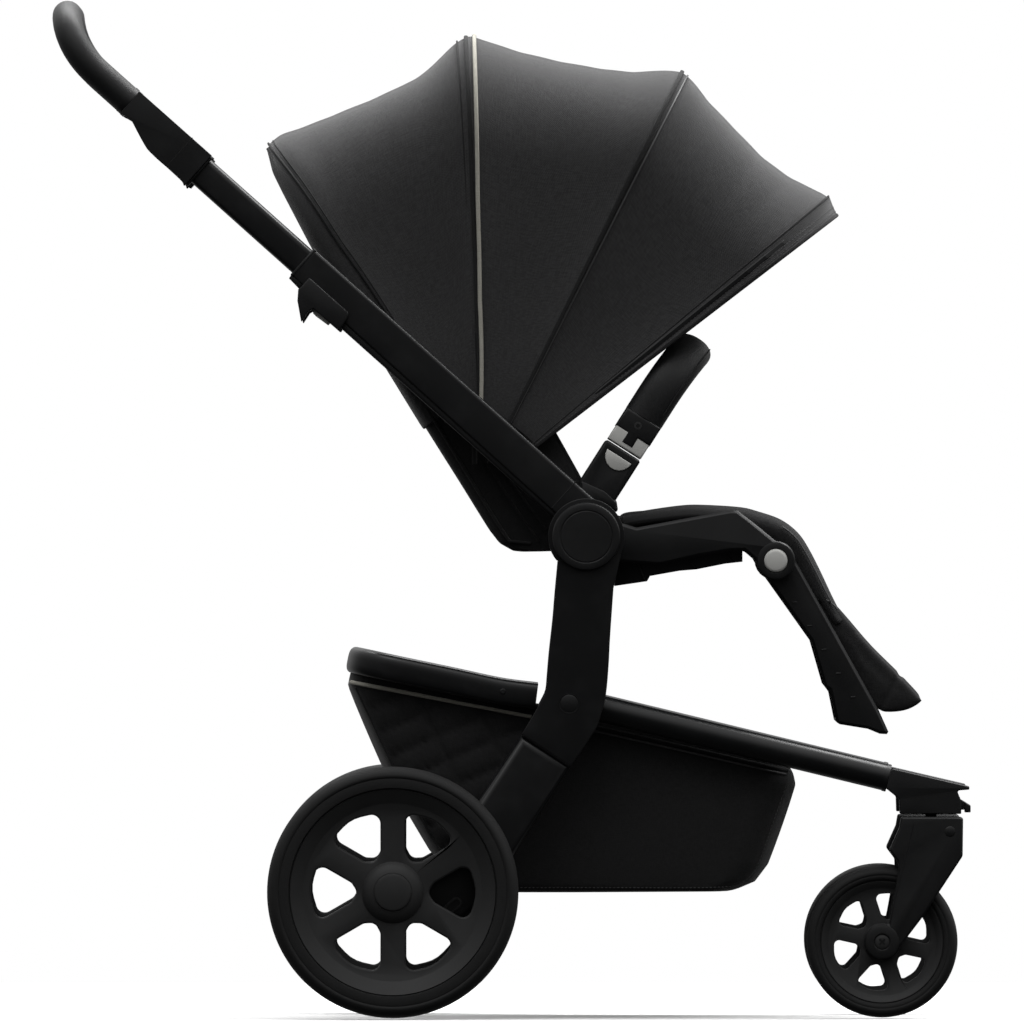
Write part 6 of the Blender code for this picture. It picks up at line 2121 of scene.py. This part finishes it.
class STROLLER_OT_harness(bpy.types.Operator):
    """Lay out the harness and its buckle"""
    bl_idname = "stroller.harness"
    bl_label = "Harness"
    bl_options = {"REGISTER", "UNDO"}

    def execute(self, context):
        make_harness()
        return {"FINISHED"}


class STROLLER_OT_studio(bpy.types.Operator):
    """Set up floor, light and camera"""
    bl_idname = "stroller.studio"
    bl_label = "Studio"
    bl_options = {"REGISTER", "UNDO"}

    def execute(self, context):
        make_studio()
        return {"FINISHED"}


OPERATORS = (
    STROLLER_OT_uprights, STROLLER_OT_hub_caps, STROLLER_OT_axle_lock, STROLLER_OT_brake,
    STROLLER_OT_rear_wheels, STROLLER_OT_front_wheels, STROLLER_OT_casters, STROLLER_OT_front_tubes,
    STROLLER_OT_basket, STROLLER_OT_pushbar, STROLLER_OT_triggers, STROLLER_OT_handle, STROLLER_OT_seat_frame,
    STROLLER_OT_seat_pad, STROLLER_OT_knee_cover, STROLLER_OT_legrest, STROLLER_OT_calf_pad,
    STROLLER_OT_backrest, STROLLER_OT_back_pad, STROLLER_OT_canopy, STROLLER_OT_bumper, STROLLER_OT_harness,
    STROLLER_OT_studio,
)


class STROLLER_PT_finish(bpy.types.Panel):
    """Lists the settings and the building steps"""
    bl_label = "Stroller"
    bl_idname = "STROLLER_PT_finish"
    bl_space_type = "VIEW_3D"
    bl_region_type = "UI"
    bl_category = "Stroller"

    def draw(self, context):
        layout = self.layout
        for settings in (context.scene.stroller_finish, context.scene.stroller_sewing,
                         context.scene.stroller_studio):
            box = layout.box()
            for name in settings.bl_rna.properties.keys():
                if name not in {"rna_type", "name"}:
                    box.prop(settings, name)
        column = layout.column(align=True)
        for step in OPERATORS:
            column.operator(step.bl_idname)


CLASSES = (StrollerFinish, StrollerSewing, StrollerStudio) + OPERATORS + (STROLLER_PT_finish,)


def register():
    """Adds the settings, the operators and the panel."""
    for cls in CLASSES:
        bpy.utils.register_class(cls)
    bpy.types.Scene.stroller_finish = PointerProperty(type=StrollerFinish)
    bpy.types.Scene.stroller_sewing = PointerProperty(type=StrollerSewing)
    bpy.types.Scene.stroller_studio = PointerProperty(type=StrollerStudio)


def unregister():
    """Takes them away again."""
    del bpy.types.Scene.stroller_studio, bpy.types.Scene.stroller_sewing, bpy.types.Scene.stroller_finish
    for cls in reversed(CLASSES):
        bpy.utils.unregister_class(cls)


def main():
    """Builds every piece and the studio."""
    register()
    for step in OPERATORS:
        group, name = step.bl_idname.split(".")
        getattr(getattr(bpy.ops, group), name)()
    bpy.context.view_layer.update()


if __name__ == "__main__":
    main()
